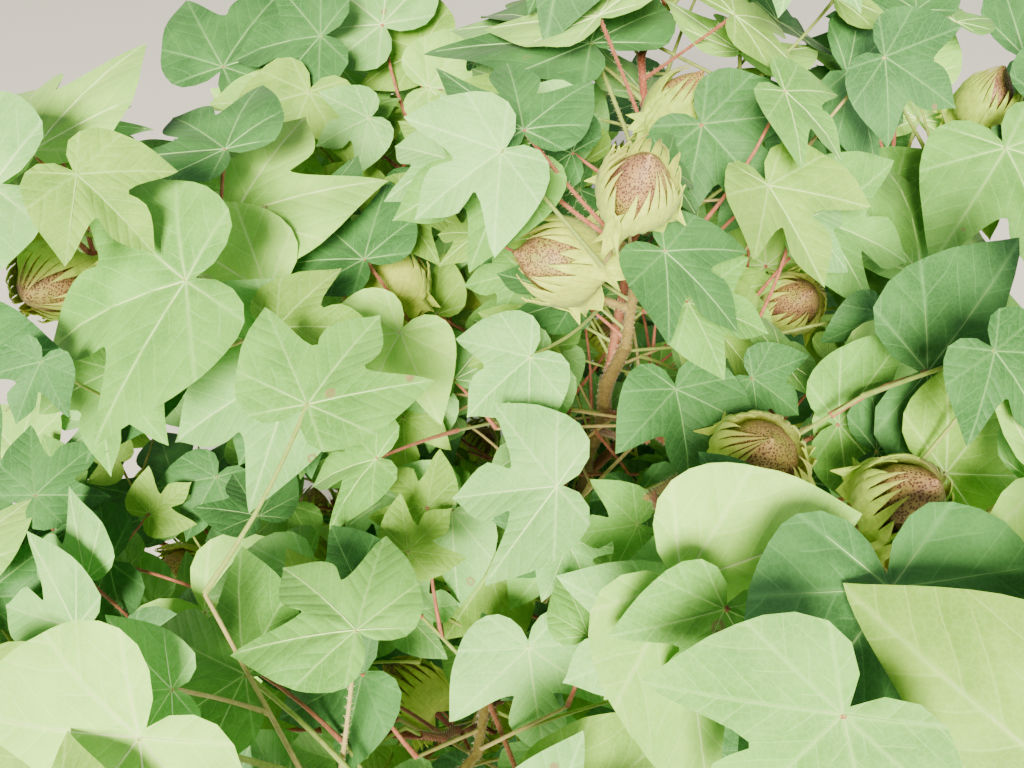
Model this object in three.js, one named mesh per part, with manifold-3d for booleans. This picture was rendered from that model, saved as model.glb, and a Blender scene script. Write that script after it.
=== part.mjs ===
import * as THREE from "three";
import { mergeVertices } from "three/addons/utils/BufferGeometryUtils.js";
import Module from "manifold-3d";

// A bushy upland cotton plant with its top pinched out and its bolls filled, rooted in level ground.
// Millimetres, +Z up. The origin is the centre of the flat foot of the main stem. The front, the open
// and sunny side, is -Y, and +X is to its right.
//
// One main stem carries four steep vegetative boughs low down and twelve fruiting boughs above them,
// each turned on from the last by the plant's leaf spiral. Every bough ends in a mass of foliage: a
// zigzag stem with bolls, leaves and leafy side twigs. Short leafy shoots fill the inside of the
// crown, and one more mass tops the stem.

// Main stem
const STEM_HEIGHT = 740;
const STEM_FOOT_RADIUS = 9;
const STEM_TIP_RADIUS = 4.2;
const ROOT_FLARE = 6;
const FLARE_HEIGHT = 28;
const STEM_LEAN = [36, -24]; // how far the tip stands off the foot, along X and Y
const LEAN_CURVE = 1.6;
const STEM_WAVE = 3; // how far the stem sways from node to node at its tip
const NODE_SWELL = 0.9;
const STEM_SIDES = 10;
const STEM_RODS = 20; // straight stretches that stand for the stem in the tests of what has room

// Where the branches stand
const BRANCHES = 16;
const VEGETATIVE = 4; // the lowest branches, which grow leaves first and bolls late
const FIRST_NODE = 110;
const INTERNODE = 40;
const LEAF_SPIRAL = 135; // degrees from one node to the next, three turns in eight nodes
const FIRST_AZIMUTH = 200;
const AZIMUTH_JITTER = 9;
const INNER_SHOOTS = 4;
const INNER_FIRST = 350;
const INNER_STEP = 100;
const INNER_AZIMUTH = 222;

// Each kind of branch, from its lowest to its highest: the bough's length and rise, the length of its
// mass's own stem, the radius where the two meet, and how the stem's rise changes at each node.
const VEGETATIVE_BRANCH = {
  bough: [200, 170], rise: [46, 54], bow: -0.07, stem: [330, 310], radius: [4.2, 3.9], nodes: 5, bend: 3,
};
const FRUITING_BRANCH = {
  bough: [150, 75], rise: [18, 40], bow: 0.05, stem: [350, 240], radius: [3.4, 2.8], nodes: 4, bend: -4,
};
const INNER_SHOOT = { stem: [150, 110], rise: [38, 50], radius: [2.6, 2.3], nodes: 2, bend: 0 };
const TOP_SHOOT = { stem: 105, rise: 90, nodes: 2, bend: -30 };
const TOP_SHOOT_RADIUS = 3.4;
const BOUGH_THICKEN = 1.3; // a bough's root radius over its tip radius
const BOUGH_RINGS = 3;
const BOUGH_SIDES = 6;

// Twigs, leaf stalks and bolls. Swings are in degrees either way from the mass's own heading.
const ZIGZAG = 15;
const LONG_FIRST_STRETCH = 1.2; // the first stretch of a mass's stem over the mean, and the last
const SHORT_LAST_STRETCH = 0.8;
const TWIG_TIP_RADIUS = 2;
const TWIG_SIDES = 4;
const SIDE_TWIG = [55, 95];
const SIDE_TWIG_RADIUS = 2.4;
const SIDE_TWIG_SWING = [40, 75];
const SIDE_TWIG_RISE = [12, 50];
const STALK = [42, 118];
const SHORT_STALK = 0.55; // the stalk of the smallest leaf, over that of the largest
const STALK_SWING = 48;
const STALK_RISE = [18, 68];
const STALK_RADIUS = 1.5;
const STALK_FOOT_RADIUS = 1.1;
const PEDICEL = [14, 26];
const PEDICEL_RADIUS = 2.1;
const BOLL_TRIES = 4;
const BOLL_SWING = 70;
const BOLL_RISE = [12, 78];
const BOLL_LENGTH = [44, 54];
const BOLL_GIRTH = 0.47; // radius over length, with the bracts on
const BOLL_WAIST = 0.34; // how far up the boll is widest
const BOLL_TOP = 0.84;
const BRACT_DIP = 0.7; // how far up the gaps between the bracts reach, and how wide the boll is there
const BRACT_DIP_GIRTH = 0.95;
const BRACT_TIP_GIRTH = 0.62;
const OPEN_BOLLS = 0.75; // the share of bolls that leaves on the sunny side don't cover

// Where pieces spring from, in shares of the stretch of stem or of the side twig that bears them, and
// which way they head
const TWIG_AT = 0.5;
const BOLL_AT = 0.93;
const BOLL_HEADING = 40;
const NODE_LEAF_AT = 0.74;
const NODE_LEAF_HEADING = 70;
const TWIG_LEAVES_AT = [0.9, 0.64];
const TWIG_LEAF_HEADING = 45;
const LATE_LEAVES_AT = [0.3, 0.6, 0.12, 0.85];
const LATE_LEAF_HEADING = 75;

// Leaves: the midrib's length, from the top of the stalk to the tip
const LEAF = [80, 112];
const LATE_LEAF = [60, 94];
const LEAF_TRIES = 22;
const TRY_SHRINK = 0.015; // how much smaller each further try is
const LEAF_THICKNESS = 0.03; // at the blade's thickest, over the midrib's length
const LEAF_HEART = 0.13; // how far up the midrib the blade is thickest
const STALK_SEAT = 0.05; // how far up the midrib the stalk meets the underside
const STALK_CORNERS = [130, 270, 410]; // degrees round the blade, where the stalk's edges meet it
const FOLD = [0.04, 0.3];
const DROOP = [0.06, 0.3];
const GAP_OUT = [0.34, 0.2]; // where the gap beside the middle lobe ends, on shallow and deep lobed leaves
const GAP_UP = [0.52, 0.4];

// How a blade faces: shares of straight up, of the light and of outward, then how far it strays
const LIGHT = new THREE.Vector3(-0.12, -0.66, 0.74);
const FACE_UP = 0.62;
const FACE_LIGHT = 0.62;
const FACE_OUT = 0.3;
const FACE_STRAY = [0.34, 0.34, 0.2];
const LEAF_SWING = 60;
const FLATTEST = 0.12; // a blade closer to its stalk's heading than this is turned up
const TURN_UP = 0.45;

// The spot in front from which the upper stem and the open bolls are left in sight
const VIEWPOINT = new THREE.Vector3(-130, -300, 1090);
const STEM_IN_SIGHT = [0.76, 0.93];
const STEM_SIGHTS = 9;
const SIGHT_LENGTH = 260; // only a leaf nearer than this hides what is kept in sight

// Room that the growing pieces leave each other
const JOINT_GAP = 0.3;
const SPACE_MARGIN = 3;
const LEAF_CLEAR = 9;
const LIMB_CLEAR = 3.5;
const BOLL_CLEAR = 6;
const BOLL_APART = 2;
const STALK_CLEAR = 2.5;
const REACH = 1.1; // leaves whose stalks end further apart than this, over their sizes, can't touch
const ROD_ROOT = 0.3; // the share of a twig or stalk at its root that isn't tested
const GROUND_CLEAR = 60;

const SEED = 6;
const LATE_SEED = 1000;
const BARK = { color: 0x7c6a36, roughness: 0.8, metalness: 0 };
const RED_BARK = { color: 0x9c5a44, roughness: 0.75, metalness: 0 };
const LEAF_GREEN = { color: 0x9cbf8a, roughness: 0.7, metalness: 0 };

const UP = new THREE.Vector3(0, 0, 1);
const { lerp, degToRad } = THREE.MathUtils;
const wasm = await Module();
wasm.setup();

// Even numbers from 0 to 1 that are the same on every run.
function stream(seed) {
  let state = (SEED * 7919 + seed * 104729) % 2147483647;
  const next = () => (state = (state * 16807) % 2147483647) / 2147483647;
  for (let i = 0; i < 5; i++) next();
  return next;
}
const between = (next, [low, high]) => low + (high - low) * next();
const either = (next, most) => between(next, [-most, most]);

function heading(azimuth, rise) {
  const a = degToRad(azimuth);
  const r = degToRad(rise);
  return new THREE.Vector3(Math.cos(r) * Math.cos(a), Math.cos(r) * Math.sin(a), Math.sin(r));
}
const along = (start, direction, length) => start.clone().addScaledVector(direction, length);

function stemPoint(z) {
  const share = z / STEM_HEIGHT;
  const lean = share ** LEAN_CURVE;
  const wave = STEM_WAVE * share * Math.sin((Math.PI * z) / INTERNODE);
  return new THREE.Vector3(STEM_LEAN[0] * lean + wave, STEM_LEAN[1] * lean, z);
}
function stemRadius(z) {
  const nearNode = Math.cos((2 * Math.PI * (z - FIRST_NODE)) / INTERNODE);
  const swell = z > FIRST_NODE - INTERNODE / 2 ? NODE_SWELL * Math.max(0, nearNode) : 0;
  const flare = ROOT_FLARE * Math.exp(-z / FLARE_HEIGHT);
  return lerp(STEM_FOOT_RADIUS, STEM_TIP_RADIUS, z / STEM_HEIGHT) + flare + swell;
}

// The branches, lowest first, each with its bough's path and where its mass begins.
function branchPlans() {
  const plans = [];
  for (let n = 0; n < BRANCHES; n++) {
    const vegetative = n < VEGETATIVE;
    const kind = vegetative ? VEGETATIVE_BRANCH : FRUITING_BRANCH;
    const number = vegetative ? n : n - VEGETATIVE;
    const share = number / ((vegetative ? VEGETATIVE : BRANCHES - VEGETATIVE) - 1);
    const next = stream(n + 1);
    const azimuth = FIRST_AZIMUTH + n * LEAF_SPIRAL + AZIMUTH_JITTER * (2 * next() - 1);
    const rise = lerp(kind.rise[0], kind.rise[1], share);
    const length = lerp(kind.bough[0], kind.bough[1], share);
    const radius = lerp(kind.radius[0], kind.radius[1], share);
    const root = stemPoint(FIRST_NODE + n * INTERNODE);
    const path = [];
    for (let i = 0; i <= BOUGH_RINGS; i++) {
      const t = i / BOUGH_RINGS;
      const point = along(root, heading(azimuth, rise), length * t);
      path.push(along(point, UP, kind.bow * length * Math.sin(Math.PI * t)));
    }
    const last = path[BOUGH_RINGS].clone().sub(path[BOUGH_RINGS - 1]).normalize();
    plans.push({
      bough: (vegetative ? "vegetative_bough_" : "fruiting_bough_") + (number + 1),
      mass: (vegetative ? "vegetative_foliage_" : "fruiting_foliage_") + (number + 1),
      path, radius, azimuth, last,
      start: along(path[BOUGH_RINGS], last, JOINT_GAP),
      rise: THREE.MathUtils.radToDeg(Math.asin(last.z)),
      length: lerp(kind.stem[0], kind.stem[1], share),
      nodes: kind.nodes,
      bend: kind.bend,
      seed: 100 + n,
    });
  }
  return plans;
}

// The short shoots that spring from the stem between the boughs, and the one that tops it.
function shootPlans() {
  const plans = [];
  for (let n = 0; n < INNER_SHOOTS; n++) {
    const share = n / (INNER_SHOOTS - 1);
    plans.push({
      mass: "inner_foliage_" + (n + 1),
      start: stemPoint(INNER_FIRST + n * INNER_STEP),
      azimuth: INNER_AZIMUTH + n * LEAF_SPIRAL,
      rise: lerp(INNER_SHOOT.rise[0], INNER_SHOOT.rise[1], share),
      length: lerp(INNER_SHOOT.stem[0], INNER_SHOOT.stem[1], share),
      radius: lerp(INNER_SHOOT.radius[0], INNER_SHOOT.radius[1], share),
      nodes: INNER_SHOOT.nodes,
      bend: INNER_SHOOT.bend,
      fromStem: true,
      seed: 200 + n,
    });
  }
  plans.push({
    mass: "top_foliage",
    start: along(stemPoint(STEM_HEIGHT), UP, JOINT_GAP),
    azimuth: FIRST_AZIMUTH + BRANCHES * LEAF_SPIRAL,
    rise: TOP_SHOOT.rise,
    length: TOP_SHOOT.stem,
    radius: TOP_SHOOT_RADIUS,
    nodes: TOP_SHOOT.nodes,
    bend: TOP_SHOOT.bend,
    seed: 300,
  });
  return plans;
}

// A mass's own stem: zigzag from node to node, as a fruiting branch grows.
function layStem(plan) {
  plan.points = [plan.start];
  plan.radii = [plan.radius];
  let rise = plan.rise;
  for (let k = 0; k < plan.nodes; k++) {
    const side = k % 2 ? 1 : -1;
    const share = plan.nodes > 1 ? k / (plan.nodes - 1) : 0;
    const step = (plan.length / plan.nodes) * lerp(LONG_FIRST_STRETCH, SHORT_LAST_STRETCH, share);
    const turn = k ? side * ZIGZAG : 0;
    plan.points.push(along(plan.points[k], heading(plan.azimuth + turn, rise), step));
    plan.radii.push(lerp(plan.radius, TWIG_TIP_RADIUS, (k + 1) / plan.nodes));
    rise += plan.bend;
  }
}

// A cotton leaf's outline in shares of its midrib, anticlockwise from the tip: five lobes, the middle
// three pointed and the two at the stalk round. Lobing 1 gives deep, narrow gaps between the lobes.
function leafOutline(lobing) {
  const half = [
    [0.25, 0.62],
    [lerp(...GAP_OUT, lobing), lerp(...GAP_UP, lobing)],
    [0.77, 0.57],
    [0.63, 0.02],
    [0.34, -0.29],
  ];
  const left = half.map(([a, b]) => [-a, b]);
  return [[0, 1], ...left, [0, -0.05], ...half.reverse()];
}

// Where a point of the blade lies: its sides fold up from the midrib, and it droops all round.
function bladePoint(leaf, a, b) {
  const height = leaf.fold * Math.abs(a) - leaf.droop * (a * a + b * b);
  return leaf.junction.clone()
    .addScaledVector(leaf.side, a * leaf.size)
    .addScaledVector(leaf.midrib, b * leaf.size)
    .addScaledVector(leaf.normal, height * leaf.size);
}

function shapeLeaf(base, azimuth, size, next) {
  const stalkHeading = heading(azimuth + either(next, STALK_SWING), between(next, STALK_RISE));
  const stalk = between(next, STALK) * lerp(SHORT_STALK, 1, size / LEAF[1]);
  const outward = heading(azimuth + either(next, LEAF_SWING), 0);
  const stray = new THREE.Vector3(...FACE_STRAY.map((most) => either(next, most)));
  const normal = UP.clone().multiplyScalar(FACE_UP)
    .addScaledVector(LIGHT, FACE_LIGHT)
    .addScaledVector(outward, FACE_OUT)
    .add(stray)
    .normalize();
  if (normal.dot(stalkHeading) < FLATTEST) normal.addScaledVector(stalkHeading, TURN_UP).normalize();
  const midrib = outward.clone().addScaledVector(normal, -outward.dot(normal)).normalize();
  const leaf = {
    base,
    junction: along(base, stalkHeading, stalk),
    midrib,
    normal,
    side: new THREE.Vector3().crossVectors(midrib, normal),
    size,
    fold: between(next, FOLD),
    droop: between(next, DROOP),
    lobing: next(),
  };
  leaf.heart = bladePoint(leaf, 0, LEAF_HEART);
  leaf.rim = leafOutline(leaf.lobing).map(([a, b]) => bladePoint(leaf, a, b));
  leaf.halfway = leafOutline(leaf.lobing).map(([a, b]) => bladePoint(leaf, a / 2, b / 2));
  return leaf;
}

// What has grown so far, for the tests that keep new twigs and leaves clear of it.
const grown = { rods: [], leaves: [], bolls: [], stems: [], inSight: [] };

function distanceToRod(point, rod) {
  const ab = rod.b.clone().sub(rod.a);
  const t = THREE.MathUtils.clamp(point.clone().sub(rod.a).dot(ab) / ab.lengthSq(), 0, 1);
  return point.distanceTo(along(rod.a, ab, t));
}
function distanceBetweenRods(one, other) {
  let nearest = Infinity;
  for (let i = 0; i <= 8; i++) {
    const point = one.a.clone().lerp(one.b, i / 8);
    nearest = Math.min(nearest, distanceToRod(point, other));
  }
  return nearest;
}
function crosses(a, b, [p, q, r]) {
  const edge1 = q.clone().sub(p);
  const edge2 = r.clone().sub(p);
  const ray = b.clone().sub(a);
  const h = new THREE.Vector3().crossVectors(ray, edge2);
  const det = edge1.dot(h);
  if (Math.abs(det) < 1e-9) return false;
  const s = a.clone().sub(p);
  const u = s.dot(h) / det;
  const k = new THREE.Vector3().crossVectors(s, edge1);
  const v = ray.dot(k) / det;
  const t = edge2.dot(k) / det;
  return u >= 0 && v >= 0 && u + v <= 1 && t >= 0 && t <= 1;
}
const bladeFaces = (leaf) =>
  leaf.rim.map((point, i) => [leaf.heart, point, leaf.rim[(i + 1) % leaf.rim.length]]);
const bladeEdges = (leaf) =>
  leaf.rim.flatMap((point, i) => [[leaf.heart, point], [point, leaf.rim[(i + 1) % leaf.rim.length]]]);

// A mass's space is all that lies nearer to its stem than to any other mass's stem.
function inSpace(point, owner, margin) {
  const nearest = (plan) =>
    Math.min(...plan.points.slice(1).map((b, k) => distanceToRod(point, { a: plan.points[k], b })));
  const own = nearest(owner);
  return grown.stems.every((plan) => plan === owner || nearest(plan) >= own + margin);
}

function rodFits(rod, owner, clear) {
  const head = { a: rod.a.clone().lerp(rod.b, ROD_ROOT), b: rod.b };
  const tested = [head.a, head.a.clone().lerp(head.b, 0.5), head.b];
  if (!tested.every((point) => inSpace(point, owner, SPACE_MARGIN + 2 * rod.radius))) return false;
  for (const other of grown.rods) {
    if (distanceBetweenRods(head, other) < rod.radius + other.radius + clear) return false;
  }
  for (const boll of grown.bolls) {
    if (distanceToRod(boll.centre, head) < boll.radius + rod.radius + BOLL_APART) return false;
  }
  for (const leaf of grown.leaves) {
    if (bladeFaces(leaf).some((face) => crosses(head.a, rod.b, face))) return false;
  }
  return true;
}

function leafFits(leaf, owner) {
  const samples = [leaf.junction, ...leaf.rim, ...leaf.halfway];
  if (samples.some((point) => point.z < GROUND_CLEAR)) return false;
  const stalk = { a: leaf.base, b: leaf.junction, radius: STALK_RADIUS };
  if (!rodFits(stalk, owner, STALK_CLEAR)) return false;
  for (const point of samples) {
    if (grown.bolls.some((boll) => boll.centre.distanceTo(point) < boll.radius + BOLL_CLEAR)) return false;
    if (grown.rods.some((rod) => distanceToRod(point, rod) < rod.radius + LIMB_CLEAR)) return false;
  }
  const faces = bladeFaces(leaf);
  if (grown.rods.some((rod) => faces.some((face) => crosses(rod.a, rod.b, face)))) return false;
  const hides = grown.inSight.some((point) => {
    const end = along(point, VIEWPOINT.clone().sub(point).normalize(), SIGHT_LENGTH);
    return faces.some((face) => crosses(point, end, face));
  });
  if (hides) return false;
  const edges = bladeEdges(leaf);
  for (const other of grown.leaves) {
    if (other.junction.distanceTo(leaf.junction) > REACH * (other.size + leaf.size)) continue;
    const otherSamples = [other.junction, ...other.rim, ...other.halfway];
    if (samples.some((a) => otherSamples.some((b) => a.distanceTo(b) < LEAF_CLEAR))) return false;
    const otherFaces = bladeFaces(other);
    if (edges.some(([a, b]) => otherFaces.some((face) => crosses(a, b, face)))) return false;
    if (bladeEdges(other).some(([a, b]) => faces.some((face) => crosses(a, b, face)))) return false;
  }
  return samples.every((point) => inSpace(point, owner, SPACE_MARGIN));
}

function tryLeaf(mass, base, azimuth, sizes, next) {
  for (let attempt = 0; attempt < LEAF_TRIES; attempt++) {
    const size = between(next, sizes) * (1 - TRY_SHRINK * attempt);
    const leaf = shapeLeaf(base, azimuth, size, next);
    if (leafFits(leaf, mass)) {
      mass.leaves.push(leaf);
      grown.leaves.push(leaf);
      grown.rods.push({ a: leaf.base, b: leaf.junction, radius: STALK_RADIUS });
      return;
    }
  }
}

function tryBoll(mass, base, azimuth, next) {
  for (let attempt = 0; attempt < BOLL_TRIES; attempt++) {
    const axis = heading(azimuth + either(next, BOLL_SWING), between(next, BOLL_RISE));
    const pedicel = between(next, PEDICEL);
    const length = between(next, BOLL_LENGTH);
    const open = next() < OPEN_BOLLS;
    const foot = along(base, axis, pedicel);
    const centre = along(foot, axis, length / 2);
    const radius = length / 2;
    const clearOfLeaf = (leaf) =>
      leaf.rim.every((point) => point.distanceTo(centre) > radius + BOLL_CLEAR) &&
      !bladeFaces(leaf).some((face) => crosses(base, along(foot, axis, length), face));
    const clear =
      grown.bolls.every((boll) => boll.centre.distanceTo(centre) > boll.radius + radius + BOLL_APART) &&
      grown.rods.every((rod) => distanceToRod(centre, rod) > radius + rod.radius) &&
      grown.leaves.every(clearOfLeaf) &&
      inSpace(centre, mass, 2 * radius);
    if (clear) {
      const boll = { base, foot, axis, length, centre, radius };
      if (open) grown.inSight.push(centre);
      mass.bolls.push(boll);
      grown.bolls.push(boll);
      grown.rods.push({ a: base, b: foot, radius: PEDICEL_RADIUS });
      return;
    }
  }
}

// One mass: on each stretch of its stem a boll, and a leaf on the one side. On the other side a leafy
// side twig and a leaf take turns.
function growMass(mass) {
  const next = stream(mass.seed);
  mass.twigs = [];
  mass.leaves = [];
  mass.bolls = [];
  for (let k = 1; k <= mass.nodes; k++) {
    const side = k % 2 ? 1 : -1;
    const at = (share) => mass.points[k - 1].clone().lerp(mass.points[k], share);
    tryBoll(mass, at(BOLL_AT), mass.azimuth - side * BOLL_HEADING, next);
    const azimuth = mass.azimuth - side * between(next, SIDE_TWIG_SWING);
    const root = at(TWIG_AT);
    const tip = along(root, heading(azimuth, between(next, SIDE_TWIG_RISE)), between(next, SIDE_TWIG));
    const twig = { a: root, b: tip, radius: SIDE_TWIG_RADIUS, azimuth };
    if (k % 2 && rodFits(twig, mass, STALK_CLEAR)) {
      mass.twigs.push(twig);
      grown.rods.push(twig);
      for (const [i, share] of TWIG_LEAVES_AT.entries()) {
        const turn = i % 2 ? -TWIG_LEAF_HEADING : TWIG_LEAF_HEADING;
        tryLeaf(mass, root.clone().lerp(tip, share), azimuth + turn, LEAF, next);
      }
    } else {
      tryLeaf(mass, root, azimuth, LEAF, next);
    }
    tryLeaf(mass, at(NODE_LEAF_AT), mass.azimuth + side * NODE_LEAF_HEADING, LEAF, next);
    if (k === mass.nodes) tryLeaf(mass, mass.points[k], mass.azimuth, LEAF, next);
  }
}

// A later flush of smaller leaves on the same stem and twigs, where there is still room.
function fillMass(mass) {
  const next = stream(mass.seed + LATE_SEED);
  const stretches = mass.points.slice(1).map((b, k) => ({ a: mass.points[k], b, azimuth: mass.azimuth }));
  for (const [k, stretch] of [...stretches, ...mass.twigs].entries()) {
    for (const [i, share] of LATE_LEAVES_AT.entries()) {
      const turn = (k + i) % 2 ? LATE_LEAF_HEADING : -LATE_LEAF_HEADING;
      tryLeaf(mass, stretch.a.clone().lerp(stretch.b, share), stretch.azimuth + turn, LATE_LEAF, next);
    }
  }
}

function solidOf(geometry) {
  const bare = geometry.clone();
  bare.deleteAttribute("normal");
  bare.deleteAttribute("uv");
  const merged = mergeVertices(bare, 1e-4);
  return new wasm.Manifold(new wasm.Mesh({
    numProp: 3,
    vertProperties: merged.attributes.position.array,
    triVerts: new Uint32Array(merged.index.array),
  }));
}

function geometryOf(solid) {
  const mesh = solid.getMesh();
  const geometry = new THREE.BufferGeometry();
  geometry.setAttribute("position", new THREE.BufferAttribute(new Float32Array(mesh.vertProperties), 3));
  geometry.setIndex(new THREE.BufferAttribute(mesh.triVerts, 1));
  geometry.computeVertexNormals();
  return geometry;
}

// A round tapering limb through the points, as one cylinder bent along them. An upright one has level ends.
function limb(points, radii, sides, upright) {
  const rings = points.length - 1;
  const geometry = new THREE.CylinderGeometry(1, 1, rings, sides, rings);
  const position = geometry.attributes.position;
  for (let i = 0; i < position.count; i++) {
    const ring = Math.round(position.getY(i) + rings / 2);
    const before = points[Math.max(0, ring - 1)];
    const after = points[Math.min(rings, ring + 1)];
    const level = upright && (ring === 0 || ring === rings);
    const ahead = level ? UP : after.clone().sub(before).normalize();
    const turn = new THREE.Quaternion().setFromUnitVectors(new THREE.Vector3(0, 1, 0), ahead);
    const spoke = new THREE.Vector3(position.getX(i), 0, position.getZ(i)).multiplyScalar(radii[ring]);
    const place = spoke.applyQuaternion(turn).add(points[ring]);
    position.setXYZ(i, place.x, place.y, place.z);
  }
  return geometry;
}

// A closed skin over rings of points, from a flat foot up to one top point. The rings run anticlockwise
// seen from above, and each has as many points as the one below it, or twice, three or four times as many.
function spindle(rings, top) {
  const faces = [];
  let first = 0;
  rings.forEach((ring, level) => {
    const start = first + ring.length;
    const above = rings[level + 1];
    for (let i = 0; i < (above ?? ring).length; i++) {
      if (!above) {
        faces.push(start, first + i, first + ((i + 1) % ring.length));
        continue;
      }
      const share = above.length / ring.length;
      const low = Math.floor(i / share);
      const next = start + ((i + 1) % above.length);
      faces.push(first + low, next, start + i);
      if ((i + 1) % share === 0) faces.push(first + low, first + ((low + 1) % ring.length), next);
    }
    first = start;
  });
  for (let i = 2; i < rings[0].length; i++) faces.push(0, i, i - 1);
  const geometry = new THREE.BufferGeometry().setFromPoints([...rings.flat(), top]);
  geometry.setIndex(faces);
  return geometry;
}

// A ring of points round a centre, in the plane of two directions.
function ringOf(centre, across, onward, radius, angles) {
  return angles.map((angle) => {
    const a = degToRad(angle);
    return along(along(centre, across, radius * Math.cos(a)), onward, radius * Math.sin(a));
  });
}

// A leaf: a three-sided stalk that ends inside its twig, and a blade that is thickest just above the
// stalk and sharp at its rim.
function leafGeometry(leaf) {
  const up = leaf.junction.clone().sub(leaf.base).normalize();
  const turn = new THREE.Quaternion().setFromUnitVectors(leaf.normal, up);
  const across = leaf.side.clone().applyQuaternion(turn);
  const onward = leaf.midrib.clone().applyQuaternion(turn);
  const seat = along(leaf.junction, leaf.midrib, STALK_SEAT * leaf.size);
  return spindle([
    ringOf(leaf.base, across, onward, STALK_FOOT_RADIUS, STALK_CORNERS),
    ringOf(seat, leaf.side, leaf.midrib, STALK_RADIUS, STALK_CORNERS),
    leaf.rim,
  ], along(leaf.heart, leaf.normal, LEAF_THICKNESS * leaf.size));
}

// A boll in its three bracts, on its stalk: widest in the middle, and drawn up to three points round
// the top.
function bollGeometry(boll) {
  const across = new THREE.Vector3().crossVectors(boll.axis, UP).normalize();
  const onward = new THREE.Vector3().crossVectors(boll.axis, across);
  const girth = BOLL_GIRTH * boll.length;
  const at = (share) => along(boll.foot, boll.axis, share * boll.length);
  const corners = [0, 120, 240];
  const sides = [0, 60, 120, 180, 240, 300];
  const low = ringOf(at(BRACT_DIP), across, onward, BRACT_DIP_GIRTH * girth, sides);
  const high = ringOf(at(1), across, onward, BRACT_TIP_GIRTH * girth, sides);
  return spindle([
    ringOf(boll.base, across, onward, PEDICEL_RADIUS, corners),
    ringOf(boll.foot, across, onward, PEDICEL_RADIUS, corners),
    ringOf(at(BOLL_WAIST), across, onward, girth, sides),
    low.map((point, i) => (i % 2 ? high[i] : point)),
  ], at(BOLL_TOP));
}

function stemGeometry(extra) {
  const step = INTERNODE / 4;
  const heights = [];
  for (let z = 0; z < STEM_HEIGHT; z += z < FIRST_NODE - step ? step : INTERNODE / 2) heights.push(z);
  heights.push(STEM_HEIGHT);
  return limb(heights.map(stemPoint), heights.map((z) => stemRadius(z) + extra), STEM_SIDES, true);
}

function massSolid(mass, stemRoom) {
  const pieces = [limb(mass.points, mass.radii, TWIG_SIDES)];
  for (const twig of mass.twigs) {
    pieces.push(limb([twig.a, twig.b], [twig.radius, TWIG_TIP_RADIUS], TWIG_SIDES));
  }
  pieces.push(...mass.bolls.map(bollGeometry), ...mass.leaves.map(leafGeometry));
  const fused = wasm.Manifold.union(pieces.map(solidOf));
  return mass.fromStem ? fused.subtract(stemRoom) : fused;
}

function mesh(name, geometry, finish) {
  const made = new THREE.Mesh(geometry, new THREE.MeshStandardMaterial(finish));
  made.name = name;
  return made;
}

const plant = new THREE.Group();
const branches = branchPlans();
const shoots = shootPlans();
const masses = [...branches, ...shoots];
masses.forEach(layStem);
grown.stems.push(...masses);

for (let i = 0; i < STEM_RODS; i++) {
  const low = (STEM_HEIGHT * i) / STEM_RODS;
  const high = low + STEM_HEIGHT / STEM_RODS;
  grown.rods.push({ a: stemPoint(low), b: stemPoint(high), radius: stemRadius(high) });
}
for (const plan of branches) {
  for (let i = 1; i <= BOUGH_RINGS; i++) {
    grown.rods.push({ a: plan.path[i - 1], b: plan.path[i], radius: plan.radius * BOUGH_THICKEN });
  }
}
for (const plan of masses) {
  for (let k = 1; k <= plan.nodes; k++) {
    grown.rods.push({ a: plan.points[k - 1], b: plan.points[k], radius: plan.radii[k - 1] });
  }
}
for (let i = 0; i < STEM_SIGHTS; i++) {
  grown.inSight.push(stemPoint(STEM_HEIGHT * lerp(...STEM_IN_SIGHT, i / (STEM_SIGHTS - 1))));
}
for (const mass of [...masses].reverse()) growMass(mass);
for (const mass of [...masses].reverse()) fillMass(mass);

const stemRoom = solidOf(stemGeometry(JOINT_GAP));
plant.add(mesh("main_stem", stemGeometry(0), BARK));
for (const plan of branches) {
  const radii = plan.path.map((_, i) => plan.radius * lerp(BOUGH_THICKEN, 1, i / BOUGH_RINGS));
  const whole = solidOf(limb(plan.path, radii, BOUGH_SIDES)).subtract(stemRoom);
  plant.add(mesh(plan.bough, geometryOf(whole), RED_BARK));
}
for (const mass of masses) plant.add(mesh(mass.mass, geometryOf(massSolid(mass, stemRoom)), LEAF_GREEN));

export default plant;
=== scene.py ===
"""The looks of a bushy upland cotton plant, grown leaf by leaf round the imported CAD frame.

The growth rule of the part's source is written again here, so that every twig, leaf and boll of the
solids stands where it does there. Each leaf then gets its own smooth lobed outline, folds and veins,
each boll its three toothed bracts, and a last flush of finer twigs with smaller leaves fills the gaps.
"""

import math

import bpy
import numpy as np
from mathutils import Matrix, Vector


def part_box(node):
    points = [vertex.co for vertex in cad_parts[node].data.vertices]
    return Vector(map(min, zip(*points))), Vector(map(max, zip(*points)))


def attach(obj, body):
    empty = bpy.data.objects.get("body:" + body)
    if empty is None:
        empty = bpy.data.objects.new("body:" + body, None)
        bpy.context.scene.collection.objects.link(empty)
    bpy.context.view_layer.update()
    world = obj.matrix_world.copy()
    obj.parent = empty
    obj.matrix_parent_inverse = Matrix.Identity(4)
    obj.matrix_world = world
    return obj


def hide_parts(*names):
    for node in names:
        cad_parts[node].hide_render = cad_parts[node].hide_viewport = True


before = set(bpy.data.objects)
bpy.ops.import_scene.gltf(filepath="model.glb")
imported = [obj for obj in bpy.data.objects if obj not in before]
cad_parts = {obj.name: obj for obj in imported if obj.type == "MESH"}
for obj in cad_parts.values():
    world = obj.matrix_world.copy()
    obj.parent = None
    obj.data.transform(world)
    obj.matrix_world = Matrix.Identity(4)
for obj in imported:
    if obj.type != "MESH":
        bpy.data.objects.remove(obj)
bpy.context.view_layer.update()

# The photograph's view: from above and in front, with the top of the main stem right of the middle.
VIEW_FROM = (-0.090, -0.360, 1.140)
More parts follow.
